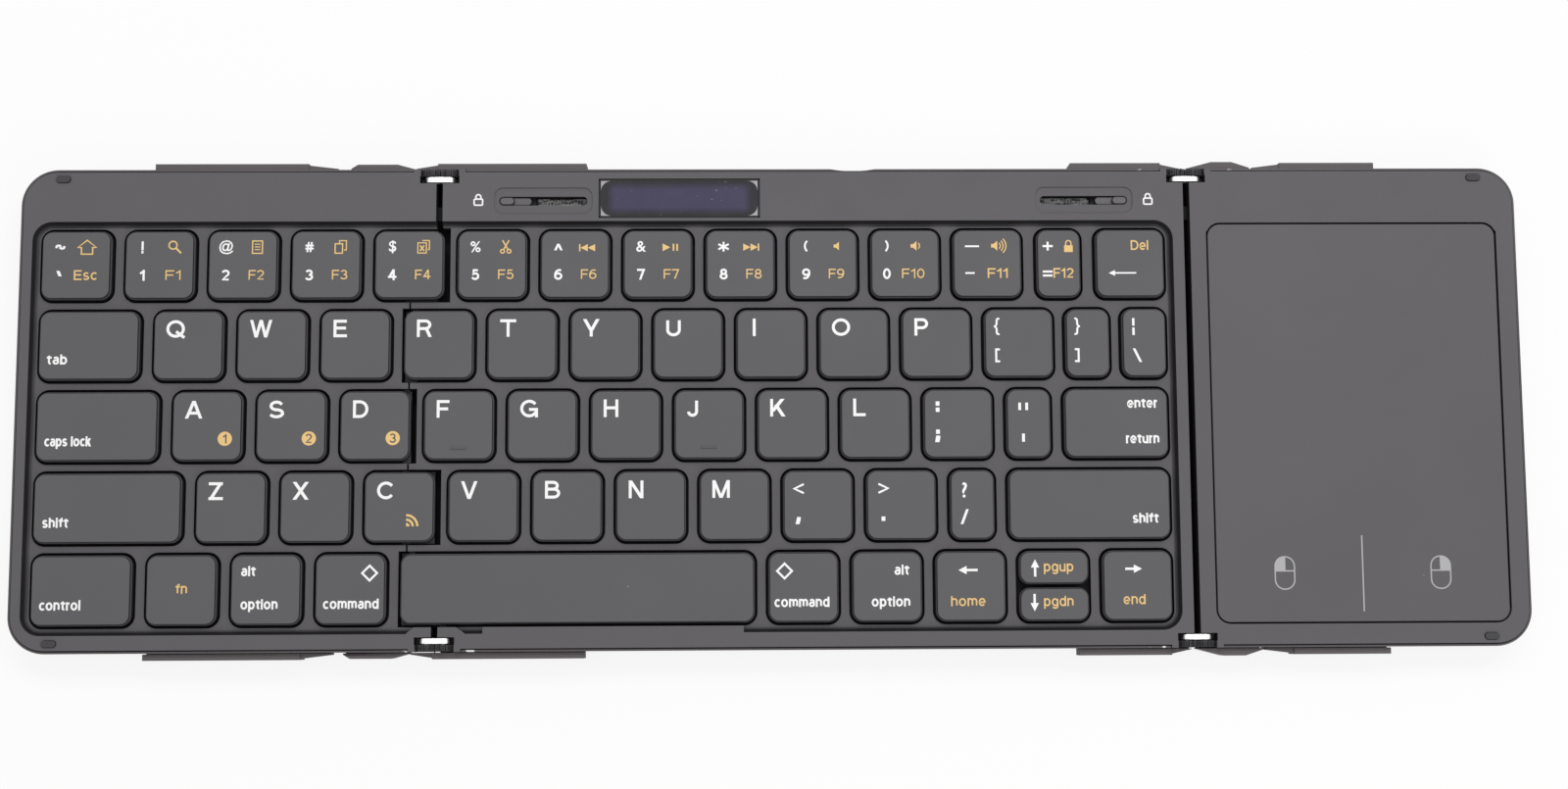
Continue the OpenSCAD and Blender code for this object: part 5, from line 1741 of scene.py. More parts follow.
@dataclass
class Legends:
    """What is printed on each key, by node and in the order of its solids."""

    small: float = 2.05
    bold: float = 0.19

    def marks(self) -> dict[str, Row]:
        """The marks of every key.

        Returns:
            For each node the marks of each of its keys.
        """
        found = {f"key_{c}": [letter(c.upper())] for c in "qwertyuiopasdfghjklzxcvbnm"}
        for number, key in enumerate("asd", 1):
            found[f"key_{key}"][0] += numbered(str(number))
        found["key_c"][0].append(Sign(Icon.WAVES, 9.7, -9.45, 2.7))
        found["left_number_keys"], found["right_number_keys"] = self.numbers()
        found["left_modifier_keys"], found["right_modifier_keys"] = self.modifiers()
        found["punctuation_keys"], found["arrow_keys"] = self.punctuation(), self.arrows()
        return found

    def label(self, text: str, left: float, right: float, y: float, ink: Ink = Ink.WHITE) -> Word:
        """A word that reaches from left to right on its baseline."""
        weight = 0.15 if ink is Ink.AMBER else self.bold
        return Word(text, left, y, self.small, ink, length=right - left, weight=weight)

    def numbers(self) -> tuple[Row, Row]:
        """The number row, left and right of the fold.

        Returns:
            The marks of the left keys and of the right keys.
        """
        left = [
            [
                above("~", 2.6, -3.1, 3.6),
                above("`", 2.6, -8.6, 3.5, 0.2),
                Sign(Icon.HOUSE, 9.05, -3.2, 3.0),
                self.label("Esc", 6.5, 11.25, -9.95, Ink.AMBER),
            ],
            number_key(above("!", 2.5, x=3.35), "1", Sign(Icon.GLASS, 9.95, -3.2, 2.8), "F1"),
            number_key(above("@", 2.1), "2", Sign(Icon.PAGE, 9.8, -3.2, 2.8), "F2"),
            number_key(above("#", 2.1), "3", Sign(Icon.COPY, 9.8, -3.2, 2.8), "F3"),
            number_key(above("$", 2.2), "4", Sign(Icon.PASTE, 9.8, -3.2, 2.8), "F4"),
        ]
        right = [
            number_key(above("%", 2.2), "5", Sign(Icon.SCISSORS, 9.65, -3.2, 2.8), "F5"),
            number_key(above("^", 2.5, -3.3), "6", Sign(Icon.PREVIOUS, 9.35, -3.45, 3.0), "F6"),
            number_key(above("&", 2.2), "7", Sign(Icon.PLAY, 9.55, -3.4, 2.9), "F7"),
            number_key(above("*", 4.0, -3.3, weight=0.1), "8", Sign(Icon.NEXT, 9.15, -3.4, 3.0), "F8"),
            number_key(above("(", 2.2), "9", Sign(Icon.SPEAKER, 9.9, -3.2, 2.5), "F9"),
            [
                above(")", 2.2, x=3.1),
                above("0", 2.25, -9.0, 3.1, 0.19),
                Sign(Icon.SPEAKER, 8.9, -3.2, 2.8, number=1),
                Word("F10", 6.2, -9.95, 2.0, Ink.AMBER, length=4.7, weight=0.13),
            ],
            [
                Word("_", 2.3, -4.3, 2.4, length=2.95),
                Word("-", 2.25, -9.9, 2.4, length=2.05),
                Sign(Icon.SPEAKER, 8.6, -3.2, 2.9, number=3),
                self.label("F11", 6.9, 11.1, -9.95, Ink.AMBER),
            ],
            [
                above("+", 2.7, -3.3, 2.1, 0.16),
                above("=", 2.6, -9.05, 2.0, 0.16),
                Sign(Icon.LOCK, 6.4, -3.3, 2.5),
                self.label("F12", 3.2, 7.4, -9.95, Ink.AMBER),
            ],
            [self.label("Del", 7.1, 10.7, -4.15, Ink.AMBER), Sign(Icon.ARROW, 5.25, -8.95, 5.7, Ink.WHITE, 180)],
        ]
        return left, right

    def modifiers(self) -> tuple[Row, Row]:
        """The modifier keys, left and right of the letters.

        Returns:
            The marks of the left keys and of the right keys.
        """
        left = [
            [self.label("tab", 1.6, 5.7, -10.75)],
            [self.label("caps lock", 1.7, 11.0, -10.9)],
            [self.label("shift", 1.8, 7.0, -10.8)],
            [self.label("control", 1.7, 9.9, -10.8)],
            [self.label("fn", 5.85, 8.15, -7.6, Ink.AMBER)],
            [self.label("alt", 1.95, 4.85, -4.1), self.label("option", 1.95, 9.35, -10.8)],
            [Sign(Icon.DIAMOND, 10.75, -3.6, 3.0, Ink.WHITE), self.label("command", 1.5, 12.65, -10.8)],
        ]
        right = [
            [self.label("enter", 12.75, 19.05, -3.8), self.label("return", 12.35, 19.15, -11.1)],
            [self.label("shift", 25.1, 30.4, -10.8)],
            [Sign(Icon.DIAMOND, 3.05, -3.6, 3.0, Ink.WHITE), self.label("command", 1.0, 12.1, -10.9)],
            [self.label("alt", 8.4, 11.4, -4.5), self.label("option", 3.7, 11.5, -10.9)],
        ]
        return left, right

    def punctuation(self) -> Row:
        """The punctuation keys, one sign over another.

        Returns:
            The marks of each key.
        """
        return [
            [above("{", 2.6, -3.45, 2.35), above("[", 2.4, -9.45, 2.45)],
            [above("}", 2.6, -3.45, 2.2), above("]", 2.4, -9.45, 2.1)],
            [above("|", 3.2, -3.55, 2.15, 0.15), above("\\", 2.7, -9.5, 2.85)],
            [above(":", 2.9, -3.4, 2.7, 0.27), above(";", 2.9, -9.4, 2.65, 0.27)],
            [above('"', 4.0, -3.4, 3.25, 0.14), above("'", 4.2, -9.85, 3.2, 0.14)],
            [above("<", 3.0, -3.5, 2.95, 0.14), above(",", 3.2, -10.0, 2.85, 0.22)],
            [above(">", 3.0, -3.5, 3.3, 0.14), above(".", 3.2, -9.7, 3.2, 0.24)],
            [above("?", 3.0, -3.9, 2.75), above("/", 2.9, -9.35, 2.7)],
        ]

    def arrows(self) -> Row:
        """The arrow keys with their second functions.

        Returns:
            The marks of each key.
        """
        return [
            [Sign(Icon.ARROW, 6.35, -3.6, 3.9, Ink.WHITE, 180), self.label("home", 2.8, 9.8, -10.9, Ink.AMBER)],
            [Sign(Icon.ARROW, 3.0, -3.25, 3.5, Ink.WHITE, 90), self.label("pgup", 4.8, 10.8, -4.0, Ink.AMBER)],
            [Sign(Icon.ARROW, 6.1, -3.5, 3.4, Ink.WHITE, 0), self.label("end", 3.9, 8.4, -10.7, Ink.AMBER)],
            [Sign(Icon.ARROW, 2.8, -2.8, 3.5, Ink.WHITE, 270), self.label("pgdn", 4.7, 10.7, -3.55, Ink.AMBER)],
        ]


@dataclass
class KeyCaps:
    """The key caps: hollow, with a rounded top edge, each on its own body."""

    shop: Workshop
    printer: Printer
    edge: float = 0.25
    # Below this depth under the top, the caps' walls take black painted shade.
    coat: float = 0.07
    wall: float = 0.9
    corner: float = 1.9
    skirt: float = 0.22
    skirt_drop: float = 0.55
    homing: Triple = (3.4, 0.5, 0.2)
    homing_at: float = 11.6
    homing_sunk: float = 0.05
    level: float = 0.3  # A face whose normal rises more than this is no wall.

    def build(self) -> None:
        """Builds every key node's caps and prints on them."""
        top = self.shop.box("space_bar").z2
        marks = Legends().marks()
        for name in self.nodes(self.shop):
            body = self.shop.body(name)
            caps, boxes = Shells(), self.shop.solids(name)
            for box in boxes:
                self.cap(caps, box, top)
            if name in ("key_f", "key_j"):
                length, width, height = self.homing
                plan = Plan(boxes[0].cx, boxes[0].y2 - self.homing_at, length, width, width / 2 - 0.01, 6)
                caps.slab(plan, top - self.homing_sunk, top + height, height)
            piece = caps.piece(name + "_cap", KEY_ABS, body, "key")
            # The caps' walls take black painted shade.
            split_finish(piece, SHADE_ABS, lambda at, normal: at.z < top - self.coat)
            # The skirts' up-facing flare takes a lighter grey: painted light below the black walls.
            split_finish(piece, SKIRT_LIT_ABS, lambda at, normal: normal.z > self.level and at.z < top - self.skirt_drop)
            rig.replaces(piece, name)
            for k, (box, printed) in enumerate(zip(boxes, marks.get(name, []))):
                label = name if len(boxes) == 1 else f"{name}_{k + 1}"
                self.printer.print(printed, (box.x1, box.y2), top, label, body)

    @staticmethod
    def nodes(shop: Workshop) -> list[str]:
        """The names of the nodes that hold keys."""
        names = shop.frame["nodes"]
        return sorted(n for n in names if n.startswith("key_") or n.endswith("_keys") or n == "space_bar")

    def cap(self, caps: Shells, box: Box, top: float) -> None:
        """Adds one hollow cap.

        Args:
            caps: The caps so far.
            box: The key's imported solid.
            top: Height of the face.
        """
        radius = min(self.corner, box.depth / 3)
        plan = Plan(box.cx, box.cy, box.width, box.depth, radius)
        inner = plan.ring(self.wall)
        skirt, start = plan.ring(-self.skirt), top - self.skirt_drop
        foot = [(skirt, box.z1), (skirt, start - self.skirt), (plan.ring(), start)]
        skin = rounded_levels(plan, box.z1, top, self.edge, 0.0, 5)[1:]
        caps.loft([(inner, top - self.wall), (inner, box.z1), *foot, *skin])


@dataclass
class Switches:
    """The rubber domes and scissors under the caps, which flatten as their key goes down."""

    shop: Workshop
    plate_top: float = 3.9
    cap_wall: float = 0.9
    clearance: float = 0.05

    def build(self) -> None:
        """Builds the switches of each group of keys that moves as one."""
        top = self.shop.box("space_bar").z2
        joints = {joint["child"]: joint for joint in self.shop.frame["joints"]}
        for panel in ("left", "centre"):
            node = f"{panel}_key_switches"
            parts = self.shop.parts(node)
            height = self.shop.box(node).z2 - self.plate_top
            for name in KeyCaps.nodes(self.shop):
                joint, group = joints[self.shop.body(name)], Shells()
                if joint["parent"] != f"{panel}_panel":
                    continue
                for cap in self.shop.solids(name):
                    for box, part in parts:
                        if cap.x1 < box.cx < cap.x2 and cap.y1 < box.cy < cap.y2:
                            group.add(part)
                piece = group.piece(f"{name}_switches", DOME_SILICONE, f"{panel}_panel", "dome")
                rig.replaces(piece, node)
                room = top - self.cap_wall - joint["range_m"][1] / MM - self.clearance - self.plate_top
                anchor = (0.0, 0.0, self.plate_top * MM)
                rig.squash(piece, joint["name"], axis=(0, 0, 1), anchor=anchor, keep=room / height)


# ---------------- case


@dataclass(frozen=True)
class RoundedBox:
    """The outline of the whole keyboard, to tell its outside from its recesses."""

    cx: float
    cy: float
    half_x: float
    half_y: float
    radius: float

    def inside(self, at: Vector) -> float:
        """How far a point lies inside the outline.

        Args:
            at: The point, in millimetres.

        Returns:
            The distance, below zero outside.
        """
        qx = abs(at.x - self.cx) - self.half_x + self.radius
        qy = abs(at.y - self.cy) - self.half_y + self.radius
        return self.radius - math.hypot(max(qx, 0), max(qy, 0)) - min(max(qx, qy), 0)


@dataclass
class Case:
    """The covers and top frames of the three panels, with their feet and screws."""

    shop: Workshop
    corner: float = 7.5
    frame_edge: float = 0.15
    cover_edge: float = 0.12
    # The black strip in the gap round each frame, which is painted shade: its inset and width.
    bead: Point = (0.62, 0.24)
    bead_stop: float = 5.3
    bead_z: Point = (-0.02, 0.015)
    seam_gap: float = -0.02
    seam_tuck: float = 0.5
    seam_z: Point = (0.05, 0.6)
    seam_least: float = 0.05  # A shorter run of the seam is left out.
    seam_near: float = 9.0  # A cover's edge this near a fold is the seam's.
    screw_head: Point = (1.6, 0.45)
    screw_edge: Point = (0.15, 0.12)
    screw_shank: float = 0.7
    screw_steps: int = 48
    screw_turn: float = 90.0
    screw_seed: int = 7
    recess: Triple = (0.85, 0.24, 0.28)  # The cross recess: reach, half width and depth.
    pad_edge: float = 0.12
    pad_top: float = 7.7
    wall: float = 0.3  # A face whose normal rises less is a wall.
    flat: float = 0.9  # A face whose normal rises more lies flat.
    rim: float = 1.4  # The frames' outer rim, which keeps their own finish.
    frame_top: float = 7.3
    slope_z: Point = (6.2, 7.58)
    slope_back: float = 39.0
    near: float = 0.01  # Places closer than this are one.

    def build(self) -> None:
        """Builds the covers, the frames and what is fastened to them."""
        reach, depth = self.shop.box("right_bottom_cover").x2, self.shop.box("centre_top_frame").y2
        outline = RoundedBox(0.0, 0.0, reach, depth, self.corner)

        def inner(at: Vector) -> bool:
            """Whether a place lies inside the outer rim."""
            return outline.inside(at) > self.rim

        for side in ("left", "centre", "right"):
            self.shop.softened(f"{side}_bottom_cover", COVER_PAINT, "cover", self.cover_edge, cut=True)
            frame = self.shop.softened(f"{side}_top_frame", FRAME_ABS, "frame", self.frame_edge)
            # Walls inside the outer rim take painted shade.
            split_finish(frame, RECESS_SHADE_ABS, lambda at, normal: self.wall_of(at, normal) and inner(at))
            # The slopes round the keys take painted shade that deepens toward their upper edge.
            split_finish(frame, SLOPE_SHADE_ABS, lambda at, normal: self.slope_of(at, normal) and inner(at))
            pads = self.shop.softened(f"{side}_rubber_pads", FOOT_RUBBER_AND_BEAD_SHADE, "pad", self.pad_edge)
            # The pads' flat tops take a grey painted highlight.
            split_finish(pads, LIT_TOP_RUBBER, lambda at, normal: normal.z > self.flat and at.z > self.pad_top)
        self.beads(outline)
        self.seam("left")
        self.seam("right")
        self.screws()

    def wall_of(self, at: Vector, normal: Vector) -> bool:
        """Whether a face of a frame is a wall below its top."""
        return normal.z < self.wall and at.z < self.frame_top

    def slope_of(self, at: Vector, normal: Vector) -> bool:
        """Whether a face of a frame belongs to the slopes round the keys."""
        low, high = self.slope_z
        return self.wall < normal.z < self.flat and low < at.z < high and at.y < self.slope_back

    def beads(self, outline: RoundedBox) -> None:
        """Lays a black strip between each top frame and its cover's rim, clear of the hinges: painted shade for the
        dark gap there.

        Args:
            outline: The outline of the whole keyboard.
        """
        plan = Plan(outline.cx, outline.cy, 2 * outline.half_x, 2 * outline.half_y, outline.radius, 10)
        inset, width = self.bead
        whole = plan.ring(inset - width / 2)
        folds = [self.shop.box(f"{side}_hinge_links").cx for side in ("left", "right")]
        reach = self.bead_stop
        left = [q for q in whole if q[0] < folds[0]]
        right = [q for q in whole if q[0] > folds[1]]
        right = right[len(right) // 2 :] + right[: len(right) // 2]
        back, front = max(y for _, y in whole), min(y for _, y in whole)
        lines = {
            "left": [[(folds[0] - reach, back), *left, (folds[0] - reach, front)]],
            "centre": [[(folds[0] + reach, y), (folds[1] - reach, y)] for y in (back, front)],
            "right": [[(folds[1] + reach, front), *right, (folds[1] + reach, back)]],
        }
        top = self.shop.box("left_bottom_cover").z2
        for side, runs in lines.items():
            bead = Shells()
            for run in runs:
                bead.stroke(run, width, top + self.bead_z[0], top + self.bead_z[1])
            bead.piece(f"{side}_frame_bead", FOOT_RUBBER_AND_BEAD_SHADE, f"{side}_panel")

    def seam(self, side: str) -> None:
        """Fills the seam beside a side cover with a black strip that is fixed to the centre panel: painted shade, so
        the gap under the fold shows dark.

        Args:
            side: The side panel's side.
        """
        pair = ("left", "centre") if side == "left" else ("centre", "right")
        low = self.shop.box(f"{pair[0]}_bottom_cover").z1
        fold = self.shop.box(f"{side}_hinge_links").cx
        covers = [self.edges(f"{panel}_bottom_cover", fold, low) for panel in pair]
        cuts = sorted({round(y, 3) for edges in covers for _, y1, y2 in edges for y in (y1, y2)})
        gap, tuck = (self.seam_gap, self.seam_tuck) if side == "left" else (-self.seam_tuck, -self.seam_gap)
        strip = Shells()
        for y1, y2 in zip(cuts, cuts[1:]):
            middle = (y1 + y2) / 2
            spans = [[x for x, a, b in edges if a < middle < b] for edges in covers]
            if all(spans) and y2 - y1 >= self.seam_least:
                x1, x2 = max(spans[0]) + gap, min(spans[1]) + tuck
                strip.prism([(x1, y1), (x2, y1), (x2, y2), (x1, y2)], low + self.seam_z[0], low + self.seam_z[1])
        strip.piece(f"{side}_seam_strip", FLEX_FILM_AND_SEAM_SHADE, "centre_panel")

    def edges(self, name: str, fold: float, low: float) -> list[Triple]:
        """The edges of a cover's underside that run along a fold, as x and the ends' y.

        Args:
            name: The cover.
            fold: The fold's x.
            low: Height of the underside.

        Returns:
            Each edge's x and the y of its ends.
        """
        shell = self.shop.whole_faces(name)
        found = []
        for edge in shell.edges:
            a, b = (v.co / MM for v in edge.verts)
            lowest = abs(a.z - low) < self.near and abs(b.z - low) < self.near
            if lowest and abs(a.x - b.x) < self.near and abs(a.x - fold) < self.seam_near:
                found.append((a.x, min(a.y, b.y), max(a.y, b.y)))
        shell.free()
        return found

    def screws(self) -> None:
        """Sets a cross-recess screw in every screw's place."""
        boxes = self.shop.solids("case_screws")
        radius, thick = self.screw_head
        inset, rise = self.screw_edge
        steps, shank = self.screw_steps, self.screw_shank
        cross = self.cross(steps)
        head = Shells()
        head.loft([
            (cross, self.recess[2]),
            (cross, 0.0),
            (circle(0, 0, radius - inset, steps), 0.0),
            (circle(0, 0, radius, steps), rise),
            (circle(0, 0, radius, steps), thick),
            (circle(0, 0, shank, steps), thick),
            (circle(0, 0, shank, steps), boxes[0].z2 - boxes[0].z1),
        ])
        tree = PartsOnPoints("screws_on_points", SCREW_STEEL)
        mesh = tree.mesh(head, [(b.cx, b.cy, b.z1) for b in boxes], self.screw_turn, self.screw_seed)
        piece = dressed_piece("case_screws_set", mesh, SCREW_STEEL, self.shop.body("case_screws"), "screw")
        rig.replaces(piece, "case_screws")

    def cross(self, steps: int) -> Ring:
        """The outline of a cross recess, with its points spread by angle.

        Args:
            steps: How many points.

        Returns:
            The points, anticlockwise.
        """
        reach, half, _ = self.recess
        points: Ring = []
        for k in range(steps):
            a = math.tau * k / steps
            off = (a + math.pi / 4) % (math.pi / 2) - math.pi / 4
            r = min(reach / math.cos(off), half / max(abs(math.sin(off)), 0.01))
            points.append((r * math.cos(a), r * math.sin(a)))
        return points


@dataclass
class Hinges:
    """The four geared hinges: bright links between toothed arms, bare steel where they mesh and black with painted
    shade elsewhere.
    """

    shop: Workshop
    bright: float = 3.0  # How far from a fold the teeth keep their steel; further out they take painted shade.
    link_edge: float = 0.14
    gear_edge: float = 0.04

    def build(self) -> None:
        """Dresses the links and the arms."""
        for side in ("left", "right"):
            self.shop.softened(f"{side}_hinge_links", LINK_STEEL, "hinge", self.link_edge)
        folds = [self.shop.box(f"{side}_hinge_links").cx for side in ("left", "right")]
        for side in ("left", "centre", "right"):
            arms = self.shop.softened(f"{side}_hinge_arms", GEAR_STEEL, "gear", self.gear_edge)
            # Faces further from the folds take black painted shade.
            split_finish(arms, SHADE_GEAR_STEEL, lambda at, normal: min(abs(at.x - f) for f in folds) > self.bright)


@dataclass
class Touchpad:
    """The clicking touchpad with its printed icons."""

    shop: Workshop
    printer: Printer
    corner: float = 2.7
    gap: float = 0.22
    edge: float = 0.3
    icon_up: float = 10.05
    icon_out: float = 16.0
    icon_size: float = 6.85
    line: Triple = (2.17, 17.67, 0.28)
    flat: float = 0.9  # A face whose normal rises more lies flat.
    lap: float = 0.3
    filler_z: Point = (0.4, 0.005)

    def build(self) -> None:
        """Builds the plate and prints on it."""
        box = self.shop.box("touchpad")
        plate = Shells()
        plate.slab(Plan(box.cx, box.cy, box.width, box.depth, self.corner, 12), box.z1, box.z2, self.edge)
        piece = plate.piece("touchpad_plate", TOUCH_SHEET, "touchpad", "touch")
        # The plate's rounded edge and walls take black painted shade.
        split_finish(piece, SHADE_ABS, lambda at, normal: normal.z < self.flat)
        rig.replaces(piece, "touchpad")
        self.fillers(box)
        out, up, size = self.icon_out, self.icon_up, self.icon_size
        marks = [Sign(Icon.MOUSE, side * out, up, size, Ink.GREY, side) for side in (-1, 1)]
        self.printer.print(marks, (box.cx, box.y1), box.z2, "touchpad_icons", "touchpad")
        rule = Shells()
        low, high, width = self.line
        ends = [(box.cx, box.y1 + low), (box.cx, box.y1 + high)]
        rule.stroke(ends, width, box.z2 - self.printer.sunk, box.z2 + self.printer.film)
        rule.piece("touchpad_line_print", INK_GREY, "touchpad")

    def fillers(self, box: Box) -> None:
        """Rounds the frame's opening at the two front corners, where the pad dips when it is clicked.

        Args:
            box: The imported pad.
        """
        gap, lap, radius = self.gap, self.lap, self.corner + self.gap
        up, over = self.filler_z
        top = self.shop.box("right_top_frame").z2 + over
        corners = Shells()
        for x, side in ((box.x1 - gap, 1), (box.x2 + gap, -1)):
            y = box.y1 - gap
            bend = arc(x + side * radius, y + radius, radius, 270, 180 if side > 0 else 360, 10)
            ring = [(x - side * lap, y - lap), (x + side * radius, y - lap), *bend, (x - side * lap, y + radius)]
            corners.prism(ring if side > 0 else ring[::-1], box.z1 + up, top)
        corners.piece("touchpad_opening_corners", FRAME_ABS, "right_panel", "frame")


@dataclass
class Display:
    """The small display: a tinted lens with a black border and film at its corners."""

    shop: Workshop
    corner: float = 0.6
    edge: float = 0.12
    border: float = 0.4
    inset: float = 0.03
    film: float = 2.1
    sunk: float = 0.02
    border_up: float = 0.01
    film_up: float = 0.012

    def build(self) -> None:
        """Builds the lens, its border and the film's corners."""
        box, body = self.shop.box("display"), self.shop.body("display")
        plan = Plan(box.cx, box.cy, box.width, box.depth, self.corner, 6)
        low, margin = box.z2 - self.sunk, self.inset + self.border
        lens, rim, corners = Shells(), Shells(), Shells()
        lens.slab(plan, box.z1, box.z2, self.edge)
        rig.replaces(lens.piece("display_lens", LENS_ACRYLIC, body, "display"), "display")
        rim.ribbon(plan.ring(margin), plan.ring(self.inset), low, box.z2 + self.border_up, True)
        rim.piece("display_border", LENS_BORDER, body)
        for sx in (-1, 1):
            for sy in (-1, 1):
                x, y = box.cx + sx * (box.width / 2 - margin), box.cy + sy * (box.depth / 2 - margin)
                points = [(x, y), *self.hollow(x, y, sx, sy)]
                corners.prism(points if sx * sy < 0 else points[::-1], low, box.z2 + self.film_up)
        corners.piece("display_film_corners", FILM, body)

    def hollow(self, x: float, y: float, sx: int, sy: int) -> Ring:
        """The hollow inner edge of a corner of the film.

        Args:
            x: The lens's corner along X.
            y: The same along Y.
            sx: Its side along X.
            sy: Its side along Y.

        Returns:
            The edge's points.
        """
        reach = self.film
        turns = [math.radians(a) for a in (15, 30, 45, 60, 75)]
        bend = [(x - sx * reach * (1 - math.sin(a)), y - sy * reach * (1 - math.cos(a))) for a in turns]
        return [(x - sx * reach, y), *bend, (x, y - sy * reach)]


@dataclass
class Locks:
    """The two fold locks: a sliding knob, its guide below the slot and a printed padlock."""

    shop: Workshop
    printer: Printer
    icon_out: float = 4.25
    icon_up: float = 0.22
    icon_size: float = 2.35
    knob: Point = (3.1, 6.6)
    knob_depth: float = 1.65
    rim: Point = (0.2, 0.14)
    ridge: Triple = (0.28, 1.5, 0.35)
    pitch: float = 0.62
    slot: float = 18.2
    lap: float = 0.8  # How far the slider runs on below the frame.
    clearance: float = 0.1
    step_down: float = 0.6
    rim_z: Point = (-0.1, 0.006)
    flat: float = 0.97  # A face whose normal rises more lies flat.
    knob_foot: float = 6.5
    ridges: Triple = (8.8, 9.4, 4.75)
    guide_bar: Triple = (7.6, 1.9, 0.5)
    guide_z: Point = (4.5, 4.8)
    tray: Triple = (0.6, 2.8, 0.4)
    tray_z: Point = (4.2, 4.45)
    edge: float = 0.1

    def build(self) -> None:
        """Builds both locks."""
        for side, sign in (("left", 1), ("right", -1)):
            name = f"{side}_lock_slider"
            slider = self.shop.softened(name, KNOB_ACETAL, "slider", 0.2)
            # The slider's walls and low parts take black painted shade.
            split_finish(slider, SHADE_ABS, lambda at, normal: normal.z < self.flat or at.z < self.knob_foot)
            box = self.shop.box(name)
            top = self.shop.box("space_bar").z2
            knob_end = box.x2 - self.lap - self.knob[1] if sign > 0 else box.x1 + self.lap + self.knob[1]
            start = knob_end - sign * self.clearance
            self.guide(side, start, sign, box.cy)
            self.rims(side, knob_end, sign, box)
            mark = [Sign(Icon.PADLOCK, -sign * self.icon_out, self.icon_up, self.icon_size, Ink.WHITE)]
            self.printer.print(mark, (start, box.cy), top, f"{side}_lock_icon", "centre_panel")

    def rims(self, side: str, start: float, sign: int, box: Box) -> None:
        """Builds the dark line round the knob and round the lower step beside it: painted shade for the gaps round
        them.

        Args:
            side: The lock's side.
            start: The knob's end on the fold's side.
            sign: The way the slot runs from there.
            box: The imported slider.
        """
        rims = Shells()
        low, high = self.rim_z
        for length, inset, top in zip(self.knob, self.rim, (box.z2, box.z2 - self.step_down)):
            plan = Plan(start + sign * length / 2, box.cy, length, self.knob_depth, self.knob_depth / 2, 12)
            rims.ribbon(plan.ring(inset), plan.ring(-0.005), top + low, top + high, True)
        rims.piece(f"{side}_lock_knob_rims", SHADE_ABS, f"{side}_lock", "slider")

    def guide(self, side: str, start: float, sign: int, y: float) -> None:
        """Builds the rough guide at the bottom of the slot, with its low ridges, and the black tray below it.

        Args:
            side: The lock's side.
            start: The slot's start.
            sign: The way it runs from there.
            y: The slot's middle.
        """
        bar, strip, tray = Shells(), Shells(), Shells()
        width, depth, height = self.ridge
        bar.slab(Plan(0, 0, width, depth, 0.1, 3), 0.0, height, self.edge)
        first, less, z = self.ridges
        count = int((self.slot - less) / self.pitch)
        row = PartsInRow(f"{side}_guide_ridges", GUIDE_NYLON)
        mesh = row.mesh(bar, count, (start + sign * first, y, z), (sign * self.pitch, 0, 0))
        dressed_piece(f"{side}_lock_guide_ridges", mesh, GUIDE_NYLON, "centre_panel")
        first, depth, corner = self.guide_bar
        plan = Plan(start + sign * (self.slot + first) / 2, y, self.slot - first, depth, corner, 4)
        strip.slab(plan, *self.guide_z, self.edge)
        strip.piece(f"{side}_lock_guide", GUIDE_NYLON, "centre_panel")
        over, depth, corner = self.tray
        tray.slab(Plan(start + sign * self.slot / 2, y, self.slot + over, depth, corner, 4), *self.tray_z, self.edge)
        tray.piece(f"{side}_lock_tray", PLATE_PAINT, "centre_panel")


@dataclass
class Cables:
    """The flat cables that cross the folds under the frames and bend with the hinges."""

    shop: Workshop
    half: float = 5.5
    thick: float = 0.15
    steps: int = 20
    bend: Point = (3.6, 0.2)
    feet: dict[str, Point] = field(default_factory=lambda: {"left": (3.9, 2.7), "right": (1.3, 2.7)})

    def build(self) -> None:
        """Builds each cable as two strips that meet in the middle of the hinge's links."""
        box = self.shop.box("flex_cables")
        for side, sign in (("left", -1), ("right", 1)):
            fold = self.shop.box(f"{side}_hinge_links").cx
            ends = (("outer", sign, f"{side}_panel"), ("inner", -sign, "centre_panel"))
            for (end, way, body), foot in zip(ends, self.feet[side]):
                name = f"{side}_flex_cable_{end}"
                strip = self.strip(name, fold, way, box, foot)
                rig.replaces(strip, "flex_cables")
                far, near = (fold + way * v for v in self.bend)
                start, stop = (Vector((x, box.cy, box.z2)) * MM for x in (far, near))
                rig.blend(strip, body, f"{side}_link", start=start, end=stop)

    def strip(self, name: str, fold: float, way: int, box: Box, foot: float) -> bpy.types.Object:
        """Builds one half of a cable, from the middle of the fold to its end that turns down.

        Args:
            name: The piece's name.
            fold: The fold's x.
            way: The way the half runs from there.
            box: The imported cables.
            foot: How low its end reaches.

        Returns:
            The new piece, on no body yet.
        """
        low, high = box.z2 - self.thick, box.z2
        line = [(fold + way * self.half * k / self.steps, high, low) for k in range(self.steps)]
        line.append((fold + way * (self.half - self.thick), high, low))
        vertices, faces = [], []
        for x, top, bottom in line:
            vertices += [(x, box.y1, bottom), (x, box.y2, bottom), (x, box.y2, top), (x, box.y1, top)]
        corner = fold + way * self.half
        vertices += [(corner, box.y1, foot), (corner, box.y2, foot), (corner, box.y2, high), (corner, box.y1, high)]
        last, heel = len(vertices) - 8, line[-1][0]
        vertices += [(heel, box.y1, foot), (heel, box.y2, foot)]
        for k in range(len(line) - 1):
            a = 4 * k
            faces += [(a + i, a + (i + 1) % 4, a + 4 + (i + 1) % 4, a + 4 + i) for i in range(4)]
        a, b, c = last, last + 4, last + 8
        faces += [
            (0, 3, 2, 1), (a + 3, a + 2, b + 2, b + 3), (b, b + 1, b + 2, b + 3), (a, a + 1, c + 1, c),
            (c, c + 1, b + 1, b), (a + 1, a + 2, b + 2, b + 1, c + 1), (a, c, b, b + 3, a + 3),
        ]
        shells = Shells()
        shells.vertices, shells.faces = vertices, faces
        return shells.piece(name, FLEX_FILM_AND_SEAM_SHADE, None, "flex")


